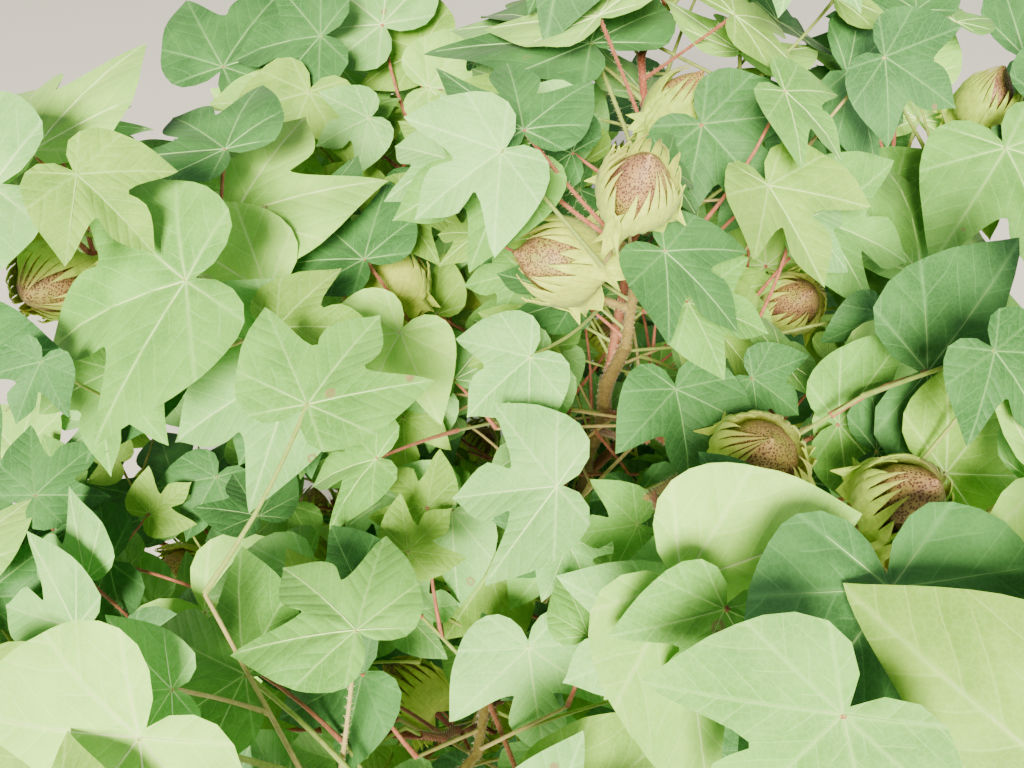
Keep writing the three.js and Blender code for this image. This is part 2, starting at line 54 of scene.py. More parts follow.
VIEW_DOWN = 51.0
VIEW_RIGHT = 10.0
VIEW_LENS = 31.0
SENSOR = 36.0


def add_camera():
    lens = bpy.data.cameras.new("view")
    lens.lens = VIEW_LENS
    lens.sensor_width = SENSOR
    lens.clip_start = 0.01
    camera = bpy.data.objects.new("view", lens)
    camera.location = VIEW_FROM
    camera.rotation_euler = (math.radians(90 - VIEW_DOWN), 0, -math.radians(VIEW_RIGHT))
    bpy.context.collection.objects.link(camera)
    bpy.context.scene.camera = camera


add_camera()

MM = 0.001

# Main stem, in millimetres
STEM_HEIGHT = 740
STEM_FOOT_RADIUS = 9
STEM_TIP_RADIUS = 4.2
ROOT_FLARE = 6
FLARE_HEIGHT = 28
STEM_LEAN = (36, -24)
LEAN_CURVE = 1.6
STEM_WAVE = 3
NODE_SWELL = 0.9
STEM_RODS = 20

# Where the branches stand
BRANCHES = 16
VEGETATIVE = 4
FIRST_NODE = 110
INTERNODE = 40
LEAF_SPIRAL = 135
FIRST_AZIMUTH = 200
AZIMUTH_JITTER = 9
INNER_SHOOTS = 4
INNER_FIRST = 350
INNER_STEP = 100
INNER_AZIMUTH = 222
VEGETATIVE_BRANCH = dict(bough=(200, 170), rise=(46, 54), bow=-0.07, stem=(330, 310), radius=(4.2, 3.9),
                         nodes=5, bend=3)
FRUITING_BRANCH = dict(bough=(150, 75), rise=(18, 40), bow=0.05, stem=(350, 240), radius=(3.4, 2.8),
                       nodes=4, bend=-4)
INNER_SHOOT = dict(stem=(150, 110), rise=(38, 50), radius=(2.6, 2.3), nodes=2, bend=0)
TOP_SHOOT = dict(stem=105, rise=90, nodes=2, bend=-30)
TOP_SHOOT_RADIUS = 3.4
BOUGH_THICKEN = 1.3
BOUGH_RINGS = 3

# Twigs, leaf stalks and bolls
ZIGZAG = 15
LONG_FIRST_STRETCH = 1.2
SHORT_LAST_STRETCH = 0.8
TWIG_TIP_RADIUS = 2
SIDE_TWIG = (55, 95)
SIDE_TWIG_RADIUS = 2.4
SIDE_TWIG_SWING = (40, 75)
SIDE_TWIG_RISE = (12, 50)
STALK = (42, 118)
SHORT_STALK = 0.55
STALK_SWING = 48
STALK_RISE = (18, 68)
STALK_RADIUS = 1.5
PEDICEL = (14, 26)
PEDICEL_RADIUS = 2.1
BOLL_TRIES = 4
BOLL_SWING = 70
BOLL_RISE = (12, 78)
BOLL_LENGTH = (44, 54)
OPEN_BOLLS = 0.75
TWIG_AT = 0.5
BOLL_AT = 0.93
BOLL_HEADING = 40
NODE_LEAF_AT = 0.74
NODE_LEAF_HEADING = 70
TWIG_LEAVES_AT = (0.9, 0.64)
TWIG_LEAF_HEADING = 45
LATE_LEAVES_AT = (0.3, 0.6, 0.12, 0.85)
LATE_LEAF_HEADING = 75

# Leaves
LEAF = (80, 112)
LATE_LEAF = (60, 94)
LEAF_TRIES = 22
TRY_SHRINK = 0.015
LEAF_HEART = 0.13
FOLD = (0.04, 0.3)
DROOP = (0.06, 0.3)
GAP_OUT = (0.34, 0.2)
GAP_UP = (0.52, 0.4)
LIGHT = np.array((-0.12, -0.66, 0.74))
FACE_UP = 0.62
FACE_LIGHT = 0.62
FACE_OUT = 0.3
FACE_STRAY = (0.34, 0.34, 0.2)
LEAF_SWING = 60
FLATTEST = 0.12
TURN_UP = 0.45
VIEWPOINT = np.array((-130.0, -300.0, 1090.0))
STEM_IN_SIGHT = (0.76, 0.93)
STEM_SIGHTS = 9
SIGHT_LENGTH = 260

# Room that the growing pieces leave each other
JOINT_GAP = 0.3
SPACE_MARGIN = 3
LEAF_CLEAR = 9
LIMB_CLEAR = 3.5
BOLL_CLEAR = 6
BOLL_APART = 2
STALK_CLEAR = 2.5
REACH = 1.1
ROD_ROOT = 0.3
GROUND_CLEAR = 60
SEED = 6
LATE_SEED = 1000
STREAM_MODULUS = 2147483647
STREAM_FACTOR = 16807
STREAM_SPREAD = (7919, 104729)

# The last flush, which only the looks have: finer twigs and smaller leaves in what room is left
FINE_SEED = 2000
FINE_TWIGS_AT = (0.98, 0.8, 0.6, 0.4, 0.2)
FINE_TWIG = (45, 125)
FINE_TWIG_TRIES = 5
FINE_TWIG_SHRINK = 0.12
FINE_TWIG_SWING = (25, 120)
FINE_TWIG_RISE = (-10, 65)
FINE_TWIG_RADIUS = 1.2
FINE_TWIG_LEAVES_AT = (1, 0.78, 0.55, 0.35)
FINE_LEAF = (58, 96)
FINE_TRIES = 9
FINE_SHRINK = 0.06
FINE_CLEAR = 4
FINE_AT = (0.2, 0.45, 0.7, 0.95, 0.08, 0.55, 0.8)
FINE_HEADING = 65
REACH_SLACK = 8
BOUGH_ROOM = 150
SIGHT_RING = 6
SIGHT_SHARE = 0.75
EYE = np.array(VIEW_FROM) / MM

UP = np.array((0.0, 0.0, 1.0))


def lerp(low, high, share):
    return low + (high - low) * share


def unit(v):
    return v / math.sqrt(float(v @ v))


def crossed(v, w):
    return np.stack([v[..., 1] * w[..., 2] - v[..., 2] * w[..., 1],
                     v[..., 2] * w[..., 0] - v[..., 0] * w[..., 2],
                     v[..., 0] * w[..., 1] - v[..., 1] * w[..., 0]], -1)


def stream(seed):
    """Even numbers from 0 to 1 that are the same on every run."""
    state = (SEED * STREAM_SPREAD[0] + seed * STREAM_SPREAD[1]) % STREAM_MODULUS

    def draw():
        nonlocal state
        state = state * STREAM_FACTOR % STREAM_MODULUS
        return state / STREAM_MODULUS

    for _ in range(5):
        draw()
    return draw


def between(draw, limits):
    return lerp(*limits, draw())


def either(draw, most):
    return between(draw, (-most, most))


def heading(azimuth, rise):
    a, r = math.radians(azimuth), math.radians(rise)
    return np.array((math.cos(r) * math.cos(a), math.cos(r) * math.sin(a), math.sin(r)))


def stem_point(z):
    share = z / STEM_HEIGHT
    lean = share ** LEAN_CURVE
    wave = STEM_WAVE * share * math.sin(math.pi * z / INTERNODE)
    return np.array((STEM_LEAN[0] * lean + wave, STEM_LEAN[1] * lean, z))


def stem_radius(z):
    near_node = math.cos(2 * math.pi * (z - FIRST_NODE) / INTERNODE)
    swell = NODE_SWELL * max(0, near_node) if z > FIRST_NODE - INTERNODE / 2 else 0
    flare = ROOT_FLARE * math.exp(-z / FLARE_HEIGHT)
    return lerp(STEM_FOOT_RADIUS, STEM_TIP_RADIUS, z / STEM_HEIGHT) + flare + swell


def branch_plans():
    plans = []
    for n in range(BRANCHES):
        vegetative = n < VEGETATIVE
        kind = VEGETATIVE_BRANCH if vegetative else FRUITING_BRANCH
        number = n if vegetative else n - VEGETATIVE
        share = number / ((VEGETATIVE if vegetative else BRANCHES - VEGETATIVE) - 1)
        azimuth = FIRST_AZIMUTH + n * LEAF_SPIRAL + AZIMUTH_JITTER * (2 * stream(n + 1)() - 1)
        rise = lerp(*kind["rise"], share)
        length = lerp(*kind["bough"], share)
        root = stem_point(FIRST_NODE + n * INTERNODE)
        path = []
        for i in range(BOUGH_RINGS + 1):
            t = i / BOUGH_RINGS
            path.append(root + heading(azimuth, rise) * length * t
                        + UP * kind["bow"] * length * math.sin(math.pi * t))
        last = unit(path[-1] - path[-2])
        family = "vegetative" if vegetative else "fruiting"
        plans.append(dict(
            bough=f"{family}_bough_{number + 1}", mass=f"{family}_foliage_{number + 1}", family=family,
            path=path, radius=lerp(*kind["radius"], share), azimuth=azimuth,
            start=path[-1] + last * JOINT_GAP, rise=math.degrees(math.asin(last[2])),
            length=lerp(*kind["stem"], share), nodes=kind["nodes"], bend=kind["bend"], seed=100 + n))
    return plans


def shoot_plans():
    plans = []
    for n in range(INNER_SHOOTS):
        share = n / (INNER_SHOOTS - 1)
        plans.append(dict(
            mass=f"inner_foliage_{n + 1}", family="inner", start=stem_point(INNER_FIRST + n * INNER_STEP),
            azimuth=INNER_AZIMUTH + n * LEAF_SPIRAL, rise=lerp(*INNER_SHOOT["rise"], share),
            length=lerp(*INNER_SHOOT["stem"], share), radius=lerp(*INNER_SHOOT["radius"], share),
            nodes=INNER_SHOOT["nodes"], bend=INNER_SHOOT["bend"], seed=200 + n))
    plans.append(dict(
        mass="top_foliage", family="top", start=stem_point(STEM_HEIGHT) + UP * JOINT_GAP,
        azimuth=FIRST_AZIMUTH + BRANCHES * LEAF_SPIRAL, rise=TOP_SHOOT["rise"], length=TOP_SHOOT["stem"],
        radius=TOP_SHOOT_RADIUS, nodes=TOP_SHOOT["nodes"], bend=TOP_SHOOT["bend"], seed=300))
    return plans


def lay_stem(plan):
    plan["points"] = [plan["start"]]
    plan["radii"] = [plan["radius"]]
    rise = plan["rise"]
    for k in range(plan["nodes"]):
        share = k / (plan["nodes"] - 1)
        step = plan["length"] / plan["nodes"] * lerp(LONG_FIRST_STRETCH, SHORT_LAST_STRETCH, share)
        turn = (ZIGZAG if k % 2 else -ZIGZAG) if k else 0
        plan["points"].append(plan["points"][k] + heading(plan["azimuth"] + turn, rise) * step)
        plan["radii"].append(lerp(plan["radius"], TWIG_TIP_RADIUS, (k + 1) / plan["nodes"]))
        rise += plan["bend"]


def leaf_outline(lobing):
    half = [(0.25, 0.62), (lerp(*GAP_OUT, lobing), lerp(*GAP_UP, lobing)), (0.77, 0.57), (0.63, 0.02),
            (0.34, -0.29)]
    return np.array([(0, 1)] + [(-a, b) for a, b in half] + [(0, -0.05)] + half[::-1])


def blade_points(leaf, spots, lift=0.0):
    a, b = spots[:, 0], spots[:, 1]
    height = leaf["fold"] * np.abs(a) - leaf["droop"] * (a * a + b * b) + lift
    return (leaf["junction"] + np.outer(a, leaf["side"]) * leaf["size"]
            + np.outer(b, leaf["midrib"]) * leaf["size"] + np.outer(height, leaf["normal"]) * leaf["size"])


def shape_leaf(base, azimuth, size, draw):
    stalk_azimuth = azimuth + either(draw, STALK_SWING)
    stalk_heading = heading(stalk_azimuth, between(draw, STALK_RISE))
    stalk = between(draw, STALK) * lerp(SHORT_STALK, 1, size / LEAF[1])
    outward = heading(azimuth + either(draw, LEAF_SWING), 0)
    stray = np.array([either(draw, most) for most in FACE_STRAY])
    normal = unit(UP * FACE_UP + LIGHT * FACE_LIGHT + outward * FACE_OUT + stray)
    if normal @ stalk_heading < FLATTEST:
        normal = unit(normal + stalk_heading * TURN_UP)
    midrib = unit(outward - normal * (outward @ normal))
    leaf = dict(base=base, junction=base + stalk_heading * stalk, midrib=midrib, normal=normal,
                side=crossed(midrib, normal), size=size, fold=between(draw, FOLD),
                droop=between(draw, DROOP), lobing=draw(), fine=False)
    outline = leaf_outline(leaf["lobing"])
    spots = np.concatenate([[(0, LEAF_HEART)], outline, outline / 2])
    points = blade_points(leaf, spots)
    leaf["heart"], leaf["rim"] = points[0].copy(), points[1:13]
    points[0] = leaf["junction"]
    leaf["samples"] = points
    return leaf


def blade_facets(leaf):
    """The fan of faces of the solid's blade, and their edges, to test against."""
    if "faces" not in leaf:
        after = np.roll(leaf["rim"], -1, axis=0)
        heart = np.repeat(leaf["heart"][None], len(after), axis=0)
        leaf["faces"] = np.stack([heart, leaf["rim"], after], axis=1)
        spokes, margin = np.stack([heart, leaf["rim"]], 1), np.stack([leaf["rim"], after], 1)
        leaf["edges"] = np.concatenate([spokes, margin])
    return leaf["faces"], leaf["edges"]


class Store:
    """Arrays of one length that grow one row at a time."""

    def __init__(self, **widths):
        self.rows = {name: [] for name in widths}
        self.arrays = {name: np.zeros((0,) + width) for name, width in widths.items()}
        self.stale = False

    def add(self, **row):
        for name, value in row.items():
            self.rows[name].append(value)
        self.stale = True

    def drop(self):
        """Takes the last row away again."""
        for values in self.rows.values():
            values.pop()
        self.stale = True

    def __getitem__(self, name):
        if self.stale:
            self.arrays = {key: np.array(values, float) for key, values in self.rows.items()}
            self.stale = False
        return self.arrays[name]


rods = Store(a=(3,), b=(3,), radius=())
bolls = Store(centre=(3,), radius=())
blades = Store(junction=(3,), size=(), samples=(25, 3), faces=(12, 3, 3), edges=(24, 2, 3))
in_sight = []
open_sights = []
stem_parts = {}


def distances(points, a, b):
    """From each point to each straight rod, as a table."""
    ab = b - a
    off = points[:, None] - a
    t = np.clip(np.einsum("ijk,jk->ij", off, ab) / np.einsum("jk,jk->j", ab, ab), 0, 1)
    off -= t[..., None] * ab
    return np.sqrt(np.einsum("ijk,ijk->ij", off, off))


def crossing(starts, ends, faces):
    """Whether any of the straight lines passes through any of the faces."""
    if not len(starts) or not len(faces):
        return False
    p, edge1, edge2 = faces[:, 0], faces[:, 1] - faces[:, 0], faces[:, 2] - faces[:, 0]
    ray = (ends - starts)[:, None]
    h = crossed(ray, edge2)
    det = (edge1 * h).sum(2)
    flat = np.abs(det) < 1e-9
    det = np.where(flat, 1, det)
    s = starts[:, None] - p
    u = (s * h).sum(2) / det
    hit = ~flat & (u >= 0) & (u <= 1)
    if not hit.any():
        return False
    k = crossed(s, edge1)
    v = (ray * k).sum(2) / det
    t = (edge2 * k).sum(2) / det
    return bool((hit & (v >= 0) & (u + v <= 1) & (t >= 0) & (t <= 1)).any())


def in_space(points, owner, margin):
    """A mass's space is all that lies nearer to its stem than to any other mass's stem. The last flush,
    which has no owner, may grow anywhere."""
    if owner is None:
        return True
    middle = points.mean(0)
    reach = math.sqrt(((points - middle) ** 2).sum(1).max())
    away = distances(middle[None], stem_parts["a"], stem_parts["b"])[0]
    own = stem_parts["owner"] == owner["index"]
    near = away < away[own].min() + 2 * reach + margin
    table = distances(points, stem_parts["a"][near], stem_parts["b"][near])
    own = own[near]
    if own.all():
        return True
    return bool((table[:, ~own].min(1) >= table[:, own].min(1) + margin).all())


def near_rods(middle, reach):
    """The rods that come within reach of a point."""
    away = distances(middle[None], rods["a"], rods["b"])[0] - rods["radius"] < reach
    return rods["a"][away], rods["b"][away], rods["radius"][away]


def rod_fits(a, b, radius, owner, clear):
    head = a + (b - a) * ROD_ROOT
    along = head + (b - head) * np.linspace(0, 1, 9)[:, None]
    near_a, near_b, near_radius = near_rods(along[4], math.dist(head, b) / 2 + radius + clear + 1)
    if len(near_a) and (distances(along, near_a, near_b).min(0) < radius + near_radius + clear).any():
        return False
    if len(bolls["radius"]):
        apart = distances(bolls["centre"], head[None], b[None])[:, 0]
        if (apart < bolls["radius"] + radius + BOLL_APART).any():
            return False
    if not in_space(np.array([head, (head + b) / 2, b]), owner, SPACE_MARGIN + 2 * radius):
        return False
    if not len(blades["size"]):
        return True
    away = ((blades["junction"] - along[4]) ** 2).sum(1)
    near = away < (math.dist(head, b) / 2 + REACH * blades["size"]) ** 2
    return not crossing(head[None], b[None], blades["faces"][near].reshape(-1, 3, 3))


def sight_lines():
    """The lines that stay free of leaves, so that the stem's top and the open bolls show."""
    if open_sights:
        return open_sights
    seen = np.array(in_sight)
    toward = VIEWPOINT - seen
    return seen, seen + toward / np.sqrt((toward ** 2).sum(1))[:, None] * SIGHT_LENGTH


def stem_sights():
    shares = [lerp(*STEM_IN_SIGHT, i / (STEM_SIGHTS - 1)) for i in range(STEM_SIGHTS)]
    return [stem_point(STEM_HEIGHT * share) for share in shares]


def keep_sights():
    """Before the last flush: whatever shows now of the bolls and the stem's top is to go on showing."""
    faces = blades["faces"].reshape(-1, 3, 3)
    spots = stem_sights()
    for centre, radius in zip(bolls["centre"], bolls["radius"]):
        way = unit(EYE - centre)
        across = unit(crossed(way, UP))
        other = crossed(way, across)
        for i in range(SIGHT_RING + 1):
            turn = 2 * math.pi * i / SIGHT_RING
            out = radius * SIGHT_SHARE * (i < SIGHT_RING)
            spots.append(centre + way * radius + (across * math.cos(turn) + other * math.sin(turn)) * out)
    spots = [spot for spot in spots if not crossing(spot[None], EYE[None], faces)]
    open_sights.extend((np.array(spots), np.repeat(EYE[None], len(spots), axis=0)))


def leaf_fits(leaf, owner, clear):
    samples = leaf["samples"]
    if (samples[:, 2] < GROUND_CLEAR).any():
        return False
    if len(bolls["radius"]):
        apart = ((samples[:, None] - bolls["centre"]) ** 2).sum(2)
        if (apart < (bolls["radius"] + BOLL_CLEAR) ** 2).any():
            return False
    near_a, near_b, near_radius = near_rods(leaf["junction"], REACH * leaf["size"] + LIMB_CLEAR)
    if len(near_a) and (distances(samples, near_a, near_b) < near_radius + LIMB_CLEAR).any():
        return False
    near = np.zeros(0, bool)
    if len(blades["size"]):
        apart = np.sqrt(((blades["junction"] - leaf["junction"]) ** 2).sum(1))
        near = apart <= REACH * (blades["size"] + leaf["size"])
        others = blades["samples"][near].reshape(-1, 3)
        if len(others) and (((samples[:, None] - others) ** 2).sum(2) < clear * clear).any():
            return False
    if not in_space(samples, owner, SPACE_MARGIN):
        return False
    if not rod_fits(leaf["base"], leaf["junction"], STALK_RADIUS, owner, STALK_CLEAR):
        return False
    faces, edges = blade_facets(leaf)
    if crossing(near_a, near_b, faces):
        return False
    seen, ends = sight_lines()
    if crossing(seen, ends, faces):
        return False
    if near.any():
        if crossing(edges[:, 0], edges[:, 1], blades["faces"][near].reshape(-1, 3, 3)):
            return False
        around = blades["edges"][near].reshape(-1, 2, 3)
        if crossing(around[:, 0], around[:, 1], faces):
            return False
    return True


def keep_leaf(mass, leaf):
    blade_facets(leaf)
    mass["leaves"].append(leaf)
    blades.add(junction=leaf["junction"], size=leaf["size"], samples=leaf["samples"], faces=leaf["faces"],
               edges=leaf["edges"])
    rods.add(a=leaf["base"], b=leaf["junction"], radius=STALK_RADIUS)


def try_leaf(mass, base, azimuth, sizes, draw):
    for attempt in range(LEAF_TRIES):
        size = between(draw, sizes) * (1 - TRY_SHRINK * attempt)
        leaf = shape_leaf(base, azimuth, size, draw)
        if leaf_fits(leaf, mass, LEAF_CLEAR):
            keep_leaf(mass, leaf)
            return


def try_boll(mass, base, azimuth, draw):
    for _ in range(BOLL_TRIES):
        swing = azimuth + either(draw, BOLL_SWING)
        axis = heading(swing, between(draw, BOLL_RISE))
        pedicel = between(draw, PEDICEL)
        length = between(draw, BOLL_LENGTH)
        is_open = draw() < OPEN_BOLLS
        foot = base + axis * pedicel
        centre = foot + axis * length / 2
        radius = length / 2
        if len(bolls["radius"]):
            apart = np.sqrt(((bolls["centre"] - centre) ** 2).sum(1))
            if not (apart > bolls["radius"] + radius + BOLL_APART).all():
                continue
        if not (distances(centre[None], rods["a"], rods["b"])[0] > radius + rods["radius"]).all():
            continue
        if len(blades["size"]):
            apart = np.sqrt(((blades["samples"][:, 1:13] - centre) ** 2).sum(2))
            if not (apart > radius + BOLL_CLEAR).all():
                continue
            if crossing(base[None], (foot + axis * length)[None], blades["faces"].reshape(-1, 3, 3)):
                continue
        if not in_space(centre[None], mass, 2 * radius):
            continue
        if is_open:
            in_sight.append(centre)
        mass["bolls"].append(dict(base=base, foot=foot, axis=axis, length=length, centre=centre))
        bolls.add(centre=centre, radius=radius)
        rods.add(a=base, b=foot, radius=PEDICEL_RADIUS)
        return


def grow_mass(mass):
    draw = stream(mass["seed"])
    mass["twigs"], mass["leaves"], mass["bolls"] = [], [], []
    for k in range(1, mass["nodes"] + 1):
        side = 1 if k % 2 else -1
        low, high = mass["points"][k - 1], mass["points"][k]
        try_boll(mass, lerp(low, high, BOLL_AT), mass["azimuth"] - side * BOLL_HEADING, draw)
        azimuth = mass["azimuth"] - side * between(draw, SIDE_TWIG_SWING)
        root = lerp(low, high, TWIG_AT)
        direction = heading(azimuth, between(draw, SIDE_TWIG_RISE))
        tip = root + direction * between(draw, SIDE_TWIG)
        if k % 2 and rod_fits(root, tip, SIDE_TWIG_RADIUS, mass, STALK_CLEAR):
            mass["twigs"].append(dict(a=root, b=tip, azimuth=azimuth))
            rods.add(a=root, b=tip, radius=SIDE_TWIG_RADIUS)
            for i, share in enumerate(TWIG_LEAVES_AT):
                turn = -TWIG_LEAF_HEADING if i % 2 else TWIG_LEAF_HEADING
                try_leaf(mass, lerp(root, tip, share), azimuth + turn, LEAF, draw)
        else:
            try_leaf(mass, root, azimuth, LEAF, draw)
        node_azimuth = mass["azimuth"] + side * NODE_LEAF_HEADING
        try_leaf(mass, lerp(low, high, NODE_LEAF_AT), node_azimuth, LEAF, draw)
        if k == mass["nodes"]:
            try_leaf(mass, high, mass["azimuth"], LEAF, draw)


def stretches_of(mass, path):
    return [dict(a=a, b=b, azimuth=mass["azimuth"]) for a, b in zip(path, path[1:])]


def fill_mass(mass):
    draw = stream(mass["seed"] + LATE_SEED)
    for k, stretch in enumerate(stretches_of(mass, mass["points"]) + mass["twigs"]):
        for i, share in enumerate(LATE_LEAVES_AT):
            turn = LATE_LEAF_HEADING if (k + i) % 2 else -LATE_LEAF_HEADING
            base = lerp(stretch["a"], stretch["b"], share)
            try_leaf(mass, base, stretch["azimuth"] + turn, LATE_LEAF, draw)


def inside(points, box):
    return (points >= box[0]).all() and (points <= box[1]).all()


def try_fine_leaf(mass, base, azimuth, draw):
    """As try_leaf, but free to grow into the room between the masses, inside their reach."""
    for attempt in range(FINE_TRIES):
        size = between(draw, FINE_LEAF) * (1 - FINE_SHRINK * attempt)
        leaf = shape_leaf(base, azimuth, size, draw)
        if inside(leaf["samples"], mass["room"]) and leaf_fits(leaf, None, FINE_CLEAR):
            leaf["fine"] = True
            keep_leaf(mass, leaf)
            return True
    return False


def refine(mass, stretches, draw):
    """Finer twigs, then small leaves, wherever there is still room along these stretches."""
    for k, stretch in enumerate(stretches):
        for i, share in enumerate(FINE_TWIGS_AT):
            side = 1 if (k + i) % 2 else -1
            root = lerp(stretch["a"], stretch["b"], share)
            for attempt in range(FINE_TWIG_TRIES):
                azimuth = stretch["azimuth"] + side * between(draw, FINE_TWIG_SWING)
                direction = heading(azimuth, between(draw, FINE_TWIG_RISE))
                tip = root + direction * between(draw, FINE_TWIG) * (1 - FINE_TWIG_SHRINK * attempt)
                if not inside(tip, mass["room"]):
                    continue
                if not rod_fits(root, tip, FINE_TWIG_RADIUS, None, STALK_CLEAR):
                    continue
                rods.add(a=root, b=tip, radius=FINE_TWIG_RADIUS)
                used = 0
                for j, spot in enumerate(FINE_TWIG_LEAVES_AT):
                    turn = TWIG_LEAF_HEADING if j % 2 else -TWIG_LEAF_HEADING
                    if try_fine_leaf(mass, lerp(root, tip, spot), azimuth + turn, draw):
                        used = max(used, spot)
                if used:
                    mass["fine_twigs"].append(dict(a=root, b=lerp(root, tip, used)))
                    break
                rods.drop()
    for k, stretch in enumerate(stretches):
        for i, share in enumerate(FINE_AT):
            turn = FINE_HEADING if (k + i) % 2 else -FINE_HEADING
            try_fine_leaf(mass, lerp(stretch["a"], stretch["b"], share), stretch["azimuth"] + turn, draw)


def refine_mass(mass):
    """The last flush, on the mass's own stem and twigs and on the bough that carries it."""
    draw = stream(mass["seed"] + FINE_SEED)
    low, high = (np.array(corner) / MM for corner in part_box(mass["mass"]))
    mass["room"] = (low - REACH_SLACK, high + REACH_SLACK)
    mass["fine_twigs"] = []
    refine(mass, stretches_of(mass, mass["points"]) + mass["twigs"], draw)
    if "path" in mass:
        root = mass["path"][0]
        mass["room"] = (np.minimum(low, root - BOUGH_ROOM), np.maximum(high, root + BOUGH_ROOM))
        refine(mass, stretches_of(mass, mass["path"]), draw)


def grow_plant():
    branches = branch_plans()
    masses = branches + shoot_plans()
    owners, a, b = [], [], []
    for index, plan in enumerate(masses):
        plan["index"] = index
        lay_stem(plan)
        owners += [index] * plan["nodes"]
        a.extend(plan["points"][:-1])
        b.extend(plan["points"][1:])
    stem_parts.update(a=np.array(a), b=np.array(b), owner=np.array(owners))
    for i in range(STEM_RODS):
        low = STEM_HEIGHT * i / STEM_RODS
        high = low + STEM_HEIGHT / STEM_RODS
        rods.add(a=stem_point(low), b=stem_point(high), radius=stem_radius(high))
    for plan in branches:
        for i in range(BOUGH_RINGS):
            rods.add(a=plan["path"][i], b=plan["path"][i + 1], radius=plan["radius"] * BOUGH_THICKEN)
    for plan in masses:
        for k in range(plan["nodes"]):
            rods.add(a=plan["points"][k], b=plan["points"][k + 1], radius=plan["radii"][k])
    in_sight.extend(stem_sights())
    for step in (grow_mass, fill_mass, refine_mass):
        if step is refine_mass:
            keep_sights()
        for mass in reversed(masses):
            step(mass)
    return branches, masses


branches, masses = grow_plant()

# Sizes that only the looks have, in millimetres or as shares of the midrib
BLADE_THICK = 0.5
PLEAT = (0.0325, 0.0975)
PLEAT_END = 1.1
RIPPLE = (0.012, 0.048)
RIPPLE_WAVES = (4, 7)
TIP_CURL = (-0.12, 0.03)
CUT = (0.35, 1.15)
LOBE_CURL = (-0.28, 0.28)
LOBE_FROM = 0.15
FINE_EASE = 0.55
VEIN_WIDTH = 0.0095
VEIN_TIP_WIDTH = 0.0025
BACK_VEIN_WIDTH = 0.75
VEIN_FROM = 0.01
VEIN_LIFT = 0.5
VEIN_TIP_LIFT = 0.25
VEIN_SINK = 0.35
VEIN_STATIONS = 8
FINE_VEIN_STATIONS = 4
STALK_BOW = 0.05
STALK_RADII = (2.175, 1.6675, 1.45, 1.3775, 1.3775, 1.8125)
SMALL_STALK = 0.5
STALK_SHARES = (0.52, 0.76)
STALK_SIDES = 6
TWIG_SIDES = 8
LOOKS_SEED = 5000
LEAF_CREASE = 62
BARK_CREASE = 50


def mixed(low, high, shares):
    return low + np.outer(shares, high - low)


class Pile:
    """Many small shapes of one kind, joined into one mesh."""

    def __init__(self):
        self.points, self.quads, self.tris, self.maps, self.count = [], [], [], [], 0

    def add(self, points, quads, tris, uv=None):
        points = np.asarray(points, float)
        self.points.append(points)
        self.quads.append(np.asarray(quads, int).reshape(-1, 4) + self.count)
        self.tris.append(np.asarray(tris, int).reshape(-1, 3) + self.count)
        self.maps.append(np.zeros((len(points), 2)) if uv is None else np.asarray(uv, float))
        self.count += len(points)

    def mesh(self, name):
        points = np.concatenate(self.points) * MM
        quads, tris = np.concatenate(self.quads), np.concatenate(self.tris)
        corners = np.concatenate([quads.ravel(), tris.ravel()])
        sizes = np.concatenate([np.full(len(quads), 4), np.full(len(tris), 3)])
        mesh = bpy.data.meshes.new(name)
        mesh.vertices.add(len(points))
        mesh.vertices.foreach_set("co", points.ravel())
        mesh.loops.add(len(corners))
        mesh.loops.foreach_set("vertex_index", corners)
        mesh.polygons.add(len(sizes))
        mesh.polygons.foreach_set("loop_start", np.concatenate([[0], np.cumsum(sizes)[:-1]]))
        mesh.polygons.foreach_set("use_smooth", np.ones(len(sizes), bool))
        uv = mesh.uv_layers.new(name="surface")
        uv.data.foreach_set("uv", np.concatenate(self.maps)[corners].ravel())
        mesh.update(calc_edges=True)
        mesh.validate()
        return mesh


def finish_piece(piece, material, nodes):
    piece.data.materials.clear()
    piece.data.materials.append(material)
    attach(piece, "root")
    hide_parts(*nodes)
    return piece


def joined(name, pile, material, nodes):
    piece = bpy.data.objects.new(name, pile.mesh(name))
    bpy.context.collection.objects.link(piece)
    bpy.ops.object.select_all(action="DESELECT")
    piece.select_set(True)
    bpy.context.view_layer.objects.active = piece
    bpy.ops.object.shade_smooth_by_angle(angle=math.radians(LEAF_CREASE))
    return finish_piece(piece, material, nodes)


def tube(path, radii, sides):
    """Rings round a path, with a closed fan at each end."""
    path = np.asarray(path, float)
    tangents = np.gradient(path, axis=0)
    tangents /= np.linalg.norm(tangents, axis=1)[:, None]
    across = np.cross(tangents[0], UP if abs(tangents[0][2]) < 0.9 else np.array((1.0, 0, 0)))
    turns = np.arange(sides) * 2 * math.pi / sides
    points = []
    for spot, tangent, radius in zip(path, tangents, radii):
        across = unit(across - tangent * (across @ tangent))
        other = np.cross(tangent, across)
        points.append(spot + radius * (np.outer(np.cos(turns), across) + np.outer(np.sin(turns), other)))
    count = len(path)
    points = np.concatenate(points + [path[:1], path[-1:]])
    quads, tris = [], []
    for j in range(sides):
        k = (j + 1) % sides
        quads += [(i * sides + j, i * sides + k, (i + 1) * sides + k, (i + 1) * sides + j)
                  for i in range(count - 1)]
        tris.append((count * sides, k, j))
        tris.append((count * sides + 1, (count - 1) * sides + j, (count - 1) * sides + k))
    return points, quads, tris


# Blades. Each side of the outline is six Bezier curves, from the tip round to the stalk's notch.
LEAF_STEPS = (9, 5, 9, 7, 5, 4)
FINE_STEPS = (5, 3, 5, 4, 3, 3)
LEAF_RINGS = (0.2, 0.44, 0.68, 0.88, 1)
FINE_RINGS = (0.3, 0.65, 1)
UNDER_RING = 0.55
VEIN_ANGLES = (0, 53, 92, 131)
VEIN_REACH = (0.95, 0.93, 0.85, 0.7)


